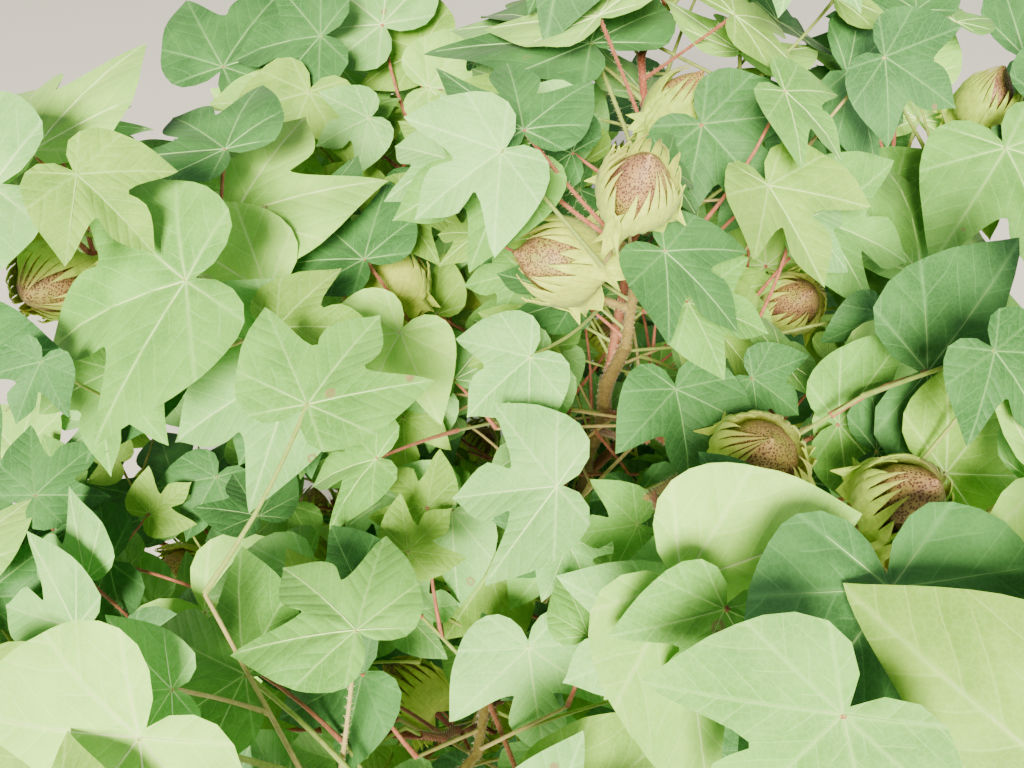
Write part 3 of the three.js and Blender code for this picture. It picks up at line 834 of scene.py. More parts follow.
def bezier(p0, p1, p2, p3, steps):
    t = (np.arange(steps) / steps)[:, None]
    return (1 - t) ** 3 * p0 + 3 * (1 - t) ** 2 * t * p1 + 3 * (1 - t) * t * t * p2 + t ** 3 * p3


def smooth_outline(lobing, steps):
    """The right side from the tip to the notch, then the left side back up."""
    gap = np.array((lerp(*GAP_OUT, lobing), lerp(*GAP_UP, lobing)))
    corners = ((0, 1), (0.25, 0.62), (0.77, 0.57), (0.63, 0.02), (0.34, -0.29), (0, -0.05))
    tip, shoulder, side_tip, corner, ear, notch = (np.array(spot) for spot in corners)
    along_gap = (side_tip - shoulder) * (0.1 + 0.12 * lobing)
    curves = (
        (tip, (0.055, 0.88), (0.22, 0.79), shoulder),
        (shoulder, (0.275, 0.52), gap - along_gap, gap),
        (gap, gap + along_gap * 1.2, (0.62, 0.575), side_tip),
        (side_tip, (0.735, 0.44), (0.72, 0.18), corner),
        (corner, (0.585, -0.09), (0.5, -0.25), ear),
        (ear, (0.2, -0.335), (0.035, -0.22), notch))
    right = np.concatenate([bezier(*(np.array(p) for p in curve), count)
                            for curve, count in zip(curves, steps)] + [notch[None]])
    left = right[1:-1][::-1] * (-1, 1)
    return np.concatenate([right, left])


def pleats(leaf, spots):
    """How far the blade swells between its sunken main veins and waves at its edge, as shares."""
    a, b = spots[:, 0], spots[:, 1]
    out = np.sqrt(a * a + b * b)
    turn = np.degrees(np.arctan2(np.abs(a), b))
    steps = np.array(VEIN_ANGLES + (180,), float)
    which = np.clip(np.searchsorted(steps, turn, side="right") - 1, 0, len(steps) - 2)
    across = (turn - steps[which]) / (steps[which + 1] - steps[which])
    swell = leaf["pleat"] * out * (PLEAT_END - out) * np.sin(math.pi * across) ** 2
    wave = leaf["ripple"] * out ** 3 * np.sin(leaf["waves"] * np.radians(turn) * np.sign(a) + leaf["phase"])
    lobe = np.where(a > 0, leaf["right_lobe"], leaf["left_lobe"])
    lobes = np.clip(np.abs(a) - LOBE_FROM, 0, None) ** 2 * lobe
    return swell + wave + lobes + leaf["curl"] * np.clip(b, 0, None) ** 3


def blade_surface(leaf, spots):
    return blade_points(leaf, spots, pleats(leaf, spots))


def dress_leaf(leaf, draw):
    """The draws that make each blade differ from the next."""
    leaf["pleat"] = between(draw, PLEAT)
    leaf["ripple"] = between(draw, RIPPLE)
    leaf["waves"] = between(draw, RIPPLE_WAVES)
    leaf["phase"] = 2 * math.pi * draw()
    ease = FINE_EASE if leaf["fine"] else 1
    leaf["curl"] = between(draw, TIP_CURL) * ease
    leaf["cut"] = lerp(*CUT, leaf["lobing"])
    leaf["right_lobe"] = between(draw, LOBE_CURL) * ease
    leaf["left_lobe"] = between(draw, LOBE_CURL) * ease
    leaf["tone"] = draw()
    leaf["stalk_tone"] = draw()
    leaf["bow"] = either(draw, STALK_BOW)


def add_blade(pile, leaf):
    fine = leaf["fine"]
    outline = smooth_outline(leaf["cut"], FINE_STEPS if fine else LEAF_STEPS)
    rings = FINE_RINGS if fine else LEAF_RINGS
    count = len(outline)
    spots = np.concatenate([np.zeros((1, 2))] + [outline * share for share in rings])
    top = blade_surface(leaf, spots)
    leaf["outline"] = outline
    leaf["shares"] = np.array((0.0,) + rings)
    leaf["grid"] = np.concatenate([np.repeat(top[:1], count, 0), top[1:]]).reshape(len(rings) + 1, count, 3)
    under_spots = np.concatenate([np.zeros((1, 2)), outline * UNDER_RING])
    under = blade_surface(leaf, under_spots) - leaf["normal"] * BLADE_THICK
    points = np.concatenate([top, under])
    around = np.arange(count)
    after = (around + 1) % count
    rim = 1 + (len(rings) - 1) * count
    low = len(top)
    tris = [np.stack([np.zeros(count, int), after + 1, around + 1], 1),
            np.stack([np.full(count, low), low + 1 + around, low + 1 + after], 1)]
    for i in range(len(rings) - 1):
        inner, outer = 1 + i * count, 1 + (i + 1) * count
        tris.append(np.stack([inner + around, inner + after, outer + after], 1))
        tris.append(np.stack([inner + around, outer + after, outer + around], 1))
    quads = np.stack([rim + around, rim + after, low + 1 + after, low + 1 + around], 1)
    pile.add(points, quads, np.concatenate(tris), np.concatenate([spots, under_spots]))


def on_blade(leaf, spots):
    """Where spots of the flat leaf lie on its finished, faceted blade."""
    outline, shares, grid = leaf["outline"], leaf["shares"], leaf["grid"]
    turns = np.arctan2(outline[:, 0], outline[:, 1]) % (2 * math.pi)
    turn = np.arctan2(spots[:, 0], spots[:, 1]) % (2 * math.pi)
    first = np.searchsorted(turns, turn, side="right") - 1
    second = (first + 1) % len(outline)
    p, q = outline[first], outline[second]
    det = p[:, 0] * q[:, 1] - p[:, 1] * q[:, 0]
    alpha = (spots[:, 0] * q[:, 1] - spots[:, 1] * q[:, 0]) / det
    beta = (p[:, 0] * spots[:, 1] - p[:, 1] * spots[:, 0]) / det
    out = np.clip(alpha + beta, 1e-6, 1)
    low = np.clip(np.searchsorted(shares, out, side="right") - 1, 0, len(shares) - 2)
    inner, outer = shares[low], shares[low + 1]
    near = np.where(inner > 0, alpha / np.maximum(inner, 1e-9), 2)
    far = (beta - inner * (1 - near)) / (outer - inner)
    other = 1 - near - far
    first_half = (near >= 0) & (far >= 0) & (other >= 0)
    tip = beta / outer
    edge = (alpha - inner * (1 - tip)) / (outer - inner)
    one = (grid[low, first] * near[:, None] + grid[low, second] * other[:, None]
           + grid[low + 1, second] * far[:, None])
    two = (grid[low, first] * (1 - tip - edge)[:, None] + grid[low + 1, second] * tip[:, None]
           + grid[low + 1, first] * edge[:, None])
    return np.where(first_half[:, None], one, two)


def add_vein(pile, leaf, path, widths):
    """A low ridge with a three-sided section that follows the blade."""
    heading_2d = unit(path[-1] - path[0])
    across = np.array((heading_2d[1], -heading_2d[0]))
    widths = np.asarray(widths)[:, None]
    spots = np.concatenate([path - across * widths, path + across * widths, path])
    count = len(path)
    lift = np.concatenate([np.full(2 * count, -VEIN_SINK), np.linspace(VEIN_LIFT, VEIN_TIP_LIFT, count)])
    points = on_blade(leaf, spots) + leaf["normal"] * lift[:, None]
    step = np.arange(count - 1)
    lines = [step, step + count, step + 2 * count]
    quads = [np.stack([one, one + 1, two + 1, two], 1)
             for one, two in ((lines[0], lines[2]), (lines[2], lines[1]), (lines[1], lines[0]))]
    ends = [(0, 2 * count, count), (count - 1, 2 * count - 1, 3 * count - 1)]
    pile.add(points, np.concatenate(quads)[:, ::-1], ends)


def add_veins(pile, leaf):
    half = leaf["outline"][:len(leaf["outline"]) // 2 + 1]
    turns = np.degrees(np.arctan2(half[:, 0], half[:, 1]))
    reaches = np.linalg.norm(half, axis=1)
    shares = np.linspace(VEIN_FROM, 1, FINE_VEIN_STATIONS if leaf["fine"] else VEIN_STATIONS)
    for i, (angle, reach) in enumerate(zip(VEIN_ANGLES, VEIN_REACH)):
        widths = lerp(VEIN_WIDTH, VEIN_TIP_WIDTH, shares) * (1 if i < 2 else BACK_VEIN_WIDTH)
        length = reach * np.interp(angle, turns, reaches)
        for side in (1, -1) if angle else (1,):
            a = math.radians(angle)
            way = np.array((math.sin(a) * side, math.cos(a)))
            add_vein(pile, leaf, way * (shares * length)[:, None], widths)


def add_stalk(pile, hairs, leaf):
    along = leaf["junction"] - leaf["base"]
    shares = np.linspace(0, 1, len(STALK_RADII))
    path = mixed(leaf["base"], leaf["junction"], shares)
    sideways = unit(np.cross(along, UP) + leaf["side"] * 0.01)
    path += np.outer(np.sin(math.pi * shares), sideways) * leaf["bow"] * math.sqrt(along @ along)
    radii = np.array(STALK_RADII) * lerp(SMALL_STALK, 1, leaf["size"] / LEAF[1])
    pile.add(*tube(path, radii, STALK_SIDES))
    if not leaf["fine"]:
        add_hairs(hairs, path, radii, STALK_HAIR_STEP)


# Hairs of the young stems and stalks, in millimetres. They stand in a sunflower's spiral.
HAIR_LENGTH = 1.5
HAIR_RADIUS = 0.13
HAIR_LEAN = 0.35
HAIR_SUNK = 0.93
HAIR_FOOT = 1.7
STALK_HAIR_STEP = 0.8
SHOOT_HAIR_STEP = 0.4
LIMB_HAIR_STEP = 0.35
GOLDEN_TURN = 2.39996
GOLDEN_SHARE = 0.618034
ASKEW = (0.37, -0.61, 0.7)


def add_hairs(pile, path, radii, step):
    """Short three-sided spikes that stand out of a stem."""
    path, radii = np.asarray(path, float), np.asarray(radii, float)
    along = np.concatenate([[0], np.cumsum(np.linalg.norm(np.diff(path, axis=0), axis=1))])
    number = np.arange(int(along[-1] / step))
    places = (number + 0.5) * step
    spots, ahead, behind = (np.stack([np.interp(places + shift, along, path[:, k]) for k in range(3)], 1)
                            for shift in (0, step, -step))
    tangent = ahead - behind
    tangent /= np.linalg.norm(tangent, axis=1)[:, None]
    across = np.cross(tangent, ASKEW)
    across /= np.linalg.norm(across, axis=1)[:, None]
    turn = (number * GOLDEN_TURN)[:, None]
    outward = across * np.cos(turn) + np.cross(tangent, across) * np.sin(turn)
    sideways = np.cross(outward, tangent) * HAIR_FOOT
    foot = spots + outward * np.interp(places, along, radii)[:, None] * HAIR_SUNK
    length = HAIR_LENGTH * (0.5 + (number * GOLDEN_SHARE) % 1)[:, None]
    points = np.concatenate([foot + tangent * HAIR_RADIUS, foot - (tangent + sideways) * HAIR_RADIUS / 2,
                             foot - (tangent - sideways) * HAIR_RADIUS / 2,
                             foot + (outward + tangent * HAIR_LEAN) * length])
    one, two, three, tip = (number + k * len(number) for k in range(4))
    sides = ((one, two, tip), (two, three, tip), (three, one, tip), (one, three, two))
    pile.add(points, (), np.concatenate([np.stack(corners, 1) for corners in sides]))


# Bolls, worked out for a boll one unit long that points up
BOLL_KINDS = 5
CAPSULE_PROFILE = ((0.05, 0.05), (0.08, 0.16), (0.15, 0.26), (0.27, 0.325), (0.4, 0.345), (0.54, 0.33),
                   (0.66, 0.28), (0.77, 0.205), (0.85, 0.125), (0.91, 0.055), (0.955, 0.018))
CAPSULE_POINT = 0.97
CAPSULE_SIDES = 20
CAPSULE_LOBES = 4
CAPSULE_GROOVE = 0.05
PEDICEL_RADII = (2.1, 1.7, 1.8, 3.2)
PEDICEL_SUNK = 2
BOLL_SKEW = (0.3, 0.2, 1.0)
BRACTS_ROUND = 3
BRACT_TEETH = 9
BRACT_ROWS = 6
TOOTH_ROWS = 6
BRACT_SHARES = (0.0, 0.04, 0.12, 0.25, 0.42, 0.6, 0.78, 0.92, 1.05, 1.2)
BRACT_RADII = (0.07, 0.2, 0.335, 0.405, 0.43, 0.405, 0.33, 0.23, 0.12, 0.05)
BRACT_HEIGHTS = (0.0, 0.03, 0.1, 0.23, 0.4, 0.57, 0.74, 0.86, 0.95, 0.99)
BRACT_THICK = 0.7
BRACT_SPREAD = 72
BRACT_TWIST = 12
BRACT_LEAN = (-0.05, 0.3)
BRACT_REACH = (0.8, 1.14)
FOOT_SPREAD = 0.62
FOOT_END = 0.18
NARROW_FROM = 0.45
NARROWING = 0.3
LEAN_FROM = 0.3
HEART_END = 0.55
HEART_OUT = 0.2
HEART_DOWN = 0.15
RIB_OUT = 0.035
RIB_IN = -0.025
FRINGE = 0.16
WEB = (0.6, 0.26)
TOOTH_LENGTH = (0.56, 0.3)
TOOTH_STRAY = (0.8, 1.15)
TOOTH_SWAY = 0.12
TOOTH_CURL = (-0.128, 0.192)
TOOTH_WIDTH = 1.75


def bract_spot(u, v, lean, centre):
    """A point of a bract's sheet: u runs across from -1 to 1, v from the foot to the longest tooth's tip.
    The foot's corners turn out and down into a heart, and the sheet narrows towards its teeth."""
    heart = abs(u) ** 3 * max(0, 1 - v / HEART_END) ** 1.3
    spread = lerp(FOOT_SPREAD, 1, min(1, v / FOOT_END)) * (1 - NARROWING * max(0, v - NARROW_FROM))
    radius = np.interp(v, BRACT_SHARES, BRACT_RADII)
    radius += HEART_OUT * heart + 0.03 * abs(u) ** 2 + lean * max(0, v - LEAN_FROM) ** 1.4
    azimuth = math.radians(centre + u * BRACT_SPREAD * spread)
    height = np.interp(v, BRACT_SHARES, BRACT_HEIGHTS) - HEART_DOWN * heart
    return (radius * math.cos(azimuth), radius * math.sin(azimuth), height)


def bract_sheet(draw, lean, centre, reach):
    columns = 2 * BRACT_TEETH + 1
    points, faces, maps = [], [], []

    def put(u, v, out=0.0):
        spot = np.array(bract_spot(u, v, lean, centre))
        spot[:2] *= 1 + out
        points.append(spot)
        maps.append((u, v))
        return len(points) - 1

    def web_end(u):
        return (WEB[0] - (WEB[0] - WEB[1]) * u * u) * (0.5 + 0.5 * reach)

    rows = []
    for i in range(BRACT_ROWS + 1):
        row = []
        for j in range(columns):
            u = 2 * j / (columns - 1) - 1
            rib = (RIB_OUT if j % 2 else RIB_IN) * min(1, i / 2)
            fringe = FRINGE if j in (0, columns - 1) and i % 2 else 0
            v = web_end(u) * i / BRACT_ROWS - fringe / 5
            row.append(put(u * (1 + fringe / 2), v, rib + fringe))
        rows.append(row)
    for low, high in zip(rows, rows[1:]):
        faces += [(low[j], low[j + 1], high[j + 1], high[j]) for j in range(columns - 1)]
    for tooth in range(BRACT_TEETH):
        u = 2 * (2 * tooth + 1) / (columns - 1) - 1
        length = lerp(*TOOTH_LENGTH, abs(u) ** 1.5) * between(draw, TOOTH_STRAY) * reach
        sway = either(draw, TOOTH_SWAY)
        curl = between(draw, TOOTH_CURL)
        last = rows[-1][2 * tooth:2 * tooth + 3]
        for k in range(1, TOOTH_ROWS + 1):
            share = k / TOOTH_ROWS
            v = web_end(u) + length * share
            middle = u + sway * share ** 2
            out = curl * share ** 2
            if k == TOOTH_ROWS:
                tip = put(middle, v, out)
                faces += [(last[0], last[1], tip), (last[1], last[2], tip)]
            else:
                half = (1 - share ** 2.2) * TOOTH_WIDTH / (columns - 1)
                row = [put(middle + aside * half, v, out + rib)
                       for aside, rib in ((-1, 0), (0, RIB_OUT), (1, 0))]
                faces += [(last[0], last[1], row[1], row[0]), (last[1], last[2], row[2], row[1])]
                last = row
    return points, faces, maps


def sheet_with_thickness(points, faces, maps, thick):
    """The sheet as a closed shell, read back as arrays."""
    mesh = bpy.data.meshes.new("bract")
    mesh.from_pydata([tuple(p) for p in points], [], faces)
    piece = bpy.data.objects.new("bract", mesh)
    bpy.context.collection.objects.link(piece)
    shell = piece.modifiers.new("wall", "SOLIDIFY")
    shell.thickness = thick
    shell.offset = -1
    bpy.ops.object.select_all(action="DESELECT")
    bpy.context.view_layer.objects.active = piece
    piece.select_set(True)
    bpy.ops.object.modifier_apply(modifier="wall")
    out = np.array([v.co for v in mesh.vertices])
    quads = [tuple(f.vertices) for f in mesh.polygons if len(f.vertices) == 4]
    tris = [tuple(f.vertices) for f in mesh.polygons if len(f.vertices) == 3]
    bpy.data.objects.remove(piece)
    uv = np.concatenate([maps, maps])[:len(out)]
    return out, quads, tris, uv


def capsule_shape():
    """A pointed egg with a shallow groove along each seam between its chambers."""
    heights, radii = np.array(CAPSULE_PROFILE).T
    points, quads, tris = tube(np.outer(heights, UP), radii, CAPSULE_SIDES)
    turn = np.arctan2(points[:, 1], points[:, 0])
    points[:, :2] *= 1 - CAPSULE_GROOVE * np.cos(CAPSULE_LOBES * turn)[:, None] ** 8
    points[-1, 2] = CAPSULE_POINT
    return points, quads, tris, points[:, (0, 2)]


def bract_kinds():
    kinds = []
    for kind in range(BOLL_KINDS):
        draw = stream(LOOKS_SEED + kind)
        parts = []
        for n in range(BRACTS_ROUND):
            lean = lerp(*BRACT_LEAN, draw() ** 1.5)
            centre = n * 360 / BRACTS_ROUND + BRACT_TWIST * draw()
            sheet = bract_sheet(draw, lean, centre, between(draw, BRACT_REACH))
            parts.append(sheet_with_thickness(*sheet, BRACT_THICK / BOLL_LENGTH[1]))
        kinds.append(parts)
    return kinds


def placed(points, boll, spin):
    across = unit(np.cross(boll["axis"], BOLL_SKEW))
    other = np.cross(boll["axis"], across)
    c, s = math.cos(spin), math.sin(spin)
    frame_of = np.array((across * c + other * s, other * c - across * s, boll["axis"]))
    return boll["foot"] + points @ frame_of * boll["length"]


# Materials
def srgb(code):
    """A hex colour such as 0xa1b2c3 as linear red, green, blue and alpha."""
    parts = [(code >> shift & 255) / 255 for shift in (16, 8, 0)]
    return tuple(p / 12.92 if p <= 0.04045 else ((p + 0.055) / 1.055) ** 2.4 for p in parts) + (1.0,)


def per_metre(size):
    """The scale that gives a pattern cells of this many millimetres."""
    return 1 / (size * MM)


def add_node(tree, kind, settings=None, inputs=None):
    node = tree.nodes.new(kind)
    for name, value in (settings or {}).items():
        setattr(node, name, value)
    for name, value in (inputs or {}).items():
        if isinstance(value, bpy.types.NodeSocket):
            tree.links.new(value, node.inputs[name])
        else:
            node.inputs[name].default_value = value
    return node


def noise(tree, coords, size, detail, roughness=0.5):
    node = add_node(tree, "ShaderNodeTexNoise", None, {
        "Vector": coords.outputs["Object"], "Scale": per_metre(size), "Detail": detail,
        "Roughness": roughness})
    return node.outputs["Fac"]


def cell_pattern(tree, coords, size, feature="F1"):
    return add_node(tree, "ShaderNodeTexVoronoi", {"feature": feature}, {
        "Vector": coords.outputs["Object"], "Scale": per_metre(size), "Randomness": 1.0})


def ramp(tree, source, stops, interpolation="LINEAR"):
    node = add_node(tree, "ShaderNodeValToRGB", None, {"Fac": source})
    node.color_ramp.interpolation = interpolation
    elements = node.color_ramp.elements
    while len(elements) < len(stops):
        elements.new(1.0)
    for element, (place, colour) in zip(elements, stops):
        element.position = place
        element.color = colour if isinstance(colour, tuple) else (colour, colour, colour, 1.0)
    return node.outputs["Color"]


def mix(tree, factor, one, two, blend="MIX"):
    node = add_node(tree, "ShaderNodeMix", {"data_type": "RGBA", "blend_type": blend},
                    {0: factor, 6: one, 7: two})
    return node.outputs[2]


def sums(tree, operation, *values):
    """One step of arithmetic on numbers or sockets."""
    node = add_node(tree, "ShaderNodeMath", {"operation": operation}, dict(enumerate(values)))
    return node.outputs[0]


def new_material(name, settings):
    material = bpy.data.materials.new(name)
    material.use_nodes = True
    tree = material.node_tree
    shader = tree.nodes["Principled BSDF"]
    for key, value in settings.items():
        shader.inputs[key].default_value = value
    coords = tree.nodes.new("ShaderNodeTexCoord")
    return material, tree, shader, coords


def bump(tree, shader, height, strength, relief):
    node = add_node(tree, "ShaderNodeBump", None,
                    {"Strength": strength, "Distance": relief * MM, "Height": height})
    tree.links.new(node.outputs["Normal"], shader.inputs["Normal"])


# Side veins leave each main vein in pairs and bend towards its tip, in units of the leaf's midrib.
SIDE_VEIN_STEP = 0.155
SIDE_VEIN_SLOPE = 1.0
SIDE_VEIN_BEND = 0.9
SIDE_VEIN_STRAY = 0.12
VEIN_SECTORS = (0, 26.5, 72.5, 111.5)

# Patterns of the leaves: sizes in millimetres, then how strongly each shows from its middle outwards
LEAF_BLOTCH = 35.714
VEIN_STRAY = 41.667
NET_CELL = 2.6316
SPOT_CELL = 18.182
NET = ((0.0, 0.22), (0.12, 0.0))
SIDE_VEIN = ((0.0, 0.5), (0.05, 0.0))
MAIN_VEIN_GLOW = ((0.0, 0.6), (0.018, 0.0))
SPOT_RINGS = ((0.0, 0.35), (0.07, 0.25), (0.1, 0.9), (0.135, 0.75), (0.17, 0.0))
SPOT_TINT = 0x8f7a55
LEAF_SWELL = ((0.0, 0.0), (0.3, 1.0))
LEAF_RELIEF = 0.8

# Patterns of the other surfaces, in millimetres
VEIN_GRAIN = 16.667
HAIR_GRAIN = 16.667
STALK_GRAIN = 3.3333
BARK_GRAIN = 4.5455
BRACT_GRAIN = 4.1667
BOLL_BLOTCH = 16.667
GLAND_CELL = 1.1111
GLAND = ((0.32, 0.95), (0.5, 0.0))
GLAND_TINT = 0x5c3a36
BRACT_RIBS = (26.0, 1.5, 1.0)
RIB_STREAKS = ((0.56, 0.0), (0.68, 0.55))
RIB_TINT = 0xa88450
TOOTH_FLUSH = ((0.72, 0.0), (1.0, 0.5))
FLUSH_TINT = 0x9c6c5c
YOUNG_RELIEF = 0.3
BRACT_RELIEF = 0.4
BOLL_RELIEF = 0.3
STEM_RELIEF = 0.8
BOUGH_RELIEF = 0.6


def vein_fields(tree, coords):
    """How far a point of the leaf lies from its nearest main vein, and from its nearest side vein as a
    share of their spacing. Both come from the leaf's own map, in which the midrib is one unit long."""
    def times(one, two):
        return sums(tree, "MULTIPLY", one, two)

    def plus(one, two):
        return sums(tree, "ADD", one, two)

    spot = add_node(tree, "ShaderNodeSeparateXYZ", None, {"Vector": coords.outputs["UV"]})
    across, up = sums(tree, "ABSOLUTE", spot.outputs["X"]), spot.outputs["Y"]
    out = sums(tree, "SQRT", plus(times(across, across), times(up, up)))
    turn = sums(tree, "DIVIDE", sums(tree, "ARCTAN2", across, up), math.pi)
    steps = [(start / 180, angle / 180) for start, angle in zip(VEIN_SECTORS, VEIN_ANGLES)]
    nearest = ramp(tree, turn, steps, "CONSTANT")
    off = times(sums(tree, "SUBTRACT", turn, nearest), math.pi)
    along = times(out, sums(tree, "COSINE", off))
    aside = sums(tree, "ABSOLUTE", times(out, sums(tree, "SINE", off)))
    slant = plus(times(times(aside, aside), SIDE_VEIN_BEND), times(aside, SIDE_VEIN_SLOPE))
    stagger = times(sums(tree, "GREATER_THAN", off, 0.0), SIDE_VEIN_STEP / 2)
    stray = times(noise(tree, coords, VEIN_STRAY, 2.0), SIDE_VEIN_STRAY)
    reach = plus(plus(sums(tree, "SUBTRACT", along, slant), stagger), stray)
    return aside, sums(tree, "PINGPONG", sums(tree, "DIVIDE", reach, SIDE_VEIN_STEP), 0.5)


def leaf_skin(name, light, deep, line, spot):
    """Living cotton leaf: matte with a waxy bloom, so that it shows a pale, even green with soft blotches,
    fine side veins that the blade swells between, and now and then a small ringed spot."""
    material, tree, shader, coords = new_material(name, {
        "Roughness": 0.6, "IOR": 1.42, "Specular IOR Level": 0.35, "Sheen Weight": 0.08,
        "Sheen Roughness": 0.5})
    blotch = noise(tree, coords, LEAF_BLOTCH, 4.0, 0.6)
    body = ramp(tree, blotch, ((0.37, srgb(deep)), (0.64, srgb(light))))
    net = cell_pattern(tree, coords, NET_CELL, "DISTANCE_TO_EDGE")
    aside, beside = vein_fields(tree, coords)
    for field, stops in ((net.outputs["Distance"], NET), (beside, SIDE_VEIN), (aside, MAIN_VEIN_GLOW)):
        body = mix(tree, ramp(tree, field, stops), body, srgb(line))
    if spot:
        spots = cell_pattern(tree, coords, SPOT_CELL)
        rings = ramp(tree, spots.outputs["Distance"], SPOT_RINGS)
        lot = add_node(tree, "ShaderNodeSeparateColor", None, {"Color": spots.outputs["Color"]})
        chosen = ramp(tree, lot.outputs["Red"], ((1 - spot - 0.01, 0.0), (1 - spot, 1.0)))
        body = mix(tree, mix(tree, 1.0, rings, chosen, "MULTIPLY"), body, srgb(SPOT_TINT))
    tree.links.new(body, shader.inputs["Base Color"])
    bump(tree, shader, ramp(tree, beside, LEAF_SWELL), 0.3, LEAF_RELIEF)
    return material


def plain_skin(name, deep, light, size, roughness, hair=0.0, relief=YOUNG_RELIEF):
    """Young plant skin in two tints, matte, with a bloom of short hairs where it has them."""
    material, tree, shader, coords = new_material(name, {
        "Roughness": roughness, "IOR": 1.42, "Specular IOR Level": 0.3, "Sheen Weight": hair,
        "Sheen Roughness": 0.4})
    grain = noise(tree, coords, size, 5.0, 0.65)
    body = ramp(tree, grain, ((0.3, srgb(deep)), (0.7, srgb(light))))
    tree.links.new(body, shader.inputs["Base Color"])
    bump(tree, shader, grain, 0.5, relief)
    return material


def boll_skin(name):
    """Ripe, unopened cotton boll: smooth and faintly waxy, tan with a close speckle of purple brown
    glands."""
    material, tree, shader, coords = new_material(name, {
        "Roughness": 0.5, "IOR": 1.45, "Specular IOR Level": 0.4})
    blotch = noise(tree, coords, BOLL_BLOTCH, 3.0, 0.6)
    body = ramp(tree, blotch, ((0.3, srgb(0xa0a04a)), (0.5, srgb(0xb89860)), (0.7, srgb(0x946c5c))))
    glands = cell_pattern(tree, coords, GLAND_CELL)
    dots = ramp(tree, glands.outputs["Distance"], GLAND)
    tree.links.new(mix(tree, dots, body, srgb(GLAND_TINT)), shader.inputs["Base Color"])
    bump(tree, shader, dots, 0.3, BOLL_RELIEF)
    return material


def bract_skin(name, light, deep):
    """Cotton bract: papery, ribbed and pale yellow green, a little browner in streaks along its ribs
    and flushed purple at the tips of its teeth."""
    material, tree, shader, coords = new_material(name, {
        "Roughness": 0.6, "IOR": 1.4, "Specular IOR Level": 0.3, "Sheen Weight": 0.1})
    grain = noise(tree, coords, BRACT_GRAIN, 5.0, 0.7)
    body = ramp(tree, grain, ((0.3, srgb(deep)), (0.6, srgb(light))))
    ribs = add_node(tree, "ShaderNodeMapping", None, {"Vector": coords.outputs["UV"], "Scale": BRACT_RIBS})
    streak = add_node(tree, "ShaderNodeTexNoise", None,
                      {"Vector": ribs.outputs["Vector"], "Scale": 1.0, "Detail": 3.0})
    reach = add_node(tree, "ShaderNodeSeparateXYZ", None, {"Vector": coords.outputs["UV"]})
    body = mix(tree, ramp(tree, streak.outputs["Fac"], RIB_STREAKS), body, srgb(RIB_TINT))
    body = mix(tree, ramp(tree, reach.outputs["Y"], TOOTH_FLUSH), body, srgb(FLUSH_TINT))
    tree.links.new(body, shader.inputs["Base Color"])
    bump(tree, shader, streak.outputs["Fac"], 0.4, BRACT_RELIEF)
    return material


HAIRS = plain_skin("pale_stem_hair", 0xdccca4, 0xf0e6cc, HAIR_GRAIN, 0.7)
BARK = plain_skin("hairy_cotton_bark", 0x6e5f34, 0x94824c, BARK_GRAIN, 0.7, 0.12, STEM_RELIEF)
RED_BARK = plain_skin("red_cotton_bark", 0x8a5340, 0xb07a5c, BARK_GRAIN, 0.65, 0.12, BOUGH_RELIEF)

# The pieces that dress the foliage masses, with their materials
FOLIAGE = {
    "leaves_pale": leaf_skin("pale_cotton_leaf", 0xb0ec68, 0x94d858, 0xccf890, 0.09),
    "leaves_mint": leaf_skin("mint_cotton_leaf", 0x90d270, 0x74b85c, 0xb4e898, 0.06),
    "leaves_mid": leaf_skin("green_cotton_leaf", 0x7cbe50, 0x609f3e, 0x9cd872, 0.05),
    # The deep leaf tint is painted shade: a darker, shaded copy of the leaf green, coloured like leaves in
    # shadow deep in the crown
    "leaves_deep_shaded": leaf_skin("shaded_deep_cotton_leaf", 0x4c8844, 0x366c34, 0x6ca860, 0.02),
    "leaves_grass": leaf_skin("young_cotton_leaf", 0x92c648, 0x74a838, 0xb0dc70, 0.0),
    "leaf_veins_pale": plain_skin("pale_leaf_vein", 0xdcf4a8, 0xecfcc0, VEIN_GRAIN, 0.55),
    "leaf_veins_light": plain_skin("light_leaf_vein", 0xc0e48c, 0xd4f0a4, VEIN_GRAIN, 0.55),
    # The soft vein tint goes with the deep leaves and is painted shade as well
    "leaf_veins_shaded": plain_skin("shaded_leaf_vein", 0x98c47c, 0xacd490, VEIN_GRAIN, 0.55),
    "leaf_stalks_pink": plain_skin("pink_hairy_stalk", 0x985844, 0xc08066, STALK_GRAIN, 0.6, 0.12),
    "leaf_stalks_tan": plain_skin("tan_hairy_stalk", 0xa89c5c, 0xcabc80, STALK_GRAIN, 0.6, 0.12),
    "leaf_stalks_green": plain_skin("green_hairy_stalk", 0x84a044, 0xa8bc62, STALK_GRAIN, 0.6, 0.12),
    "twigs_red": plain_skin("red_hairy_twig", 0x84483a, 0xa8624c, STALK_GRAIN, 0.6, 0.12),
    "twigs_tan": plain_skin("tan_hairy_twig", 0x84743c, 0xac9a5e, STALK_GRAIN, 0.6, 0.12),
    "bracts_pale": bract_skin("pale_papery_bract", 0xd6ec62, 0xb2d04a),
    "bracts_green": bract_skin("green_papery_bract", 0xb6d850, 0x8cb03a),
    "boll_capsules": boll_skin("speckled_boll"),
    "twig_hairs": HAIRS,
}
LEAF_TINTS = ("leaves_pale", "leaves_mint", "leaves_mid", "leaves_deep_shaded", "leaves_grass")
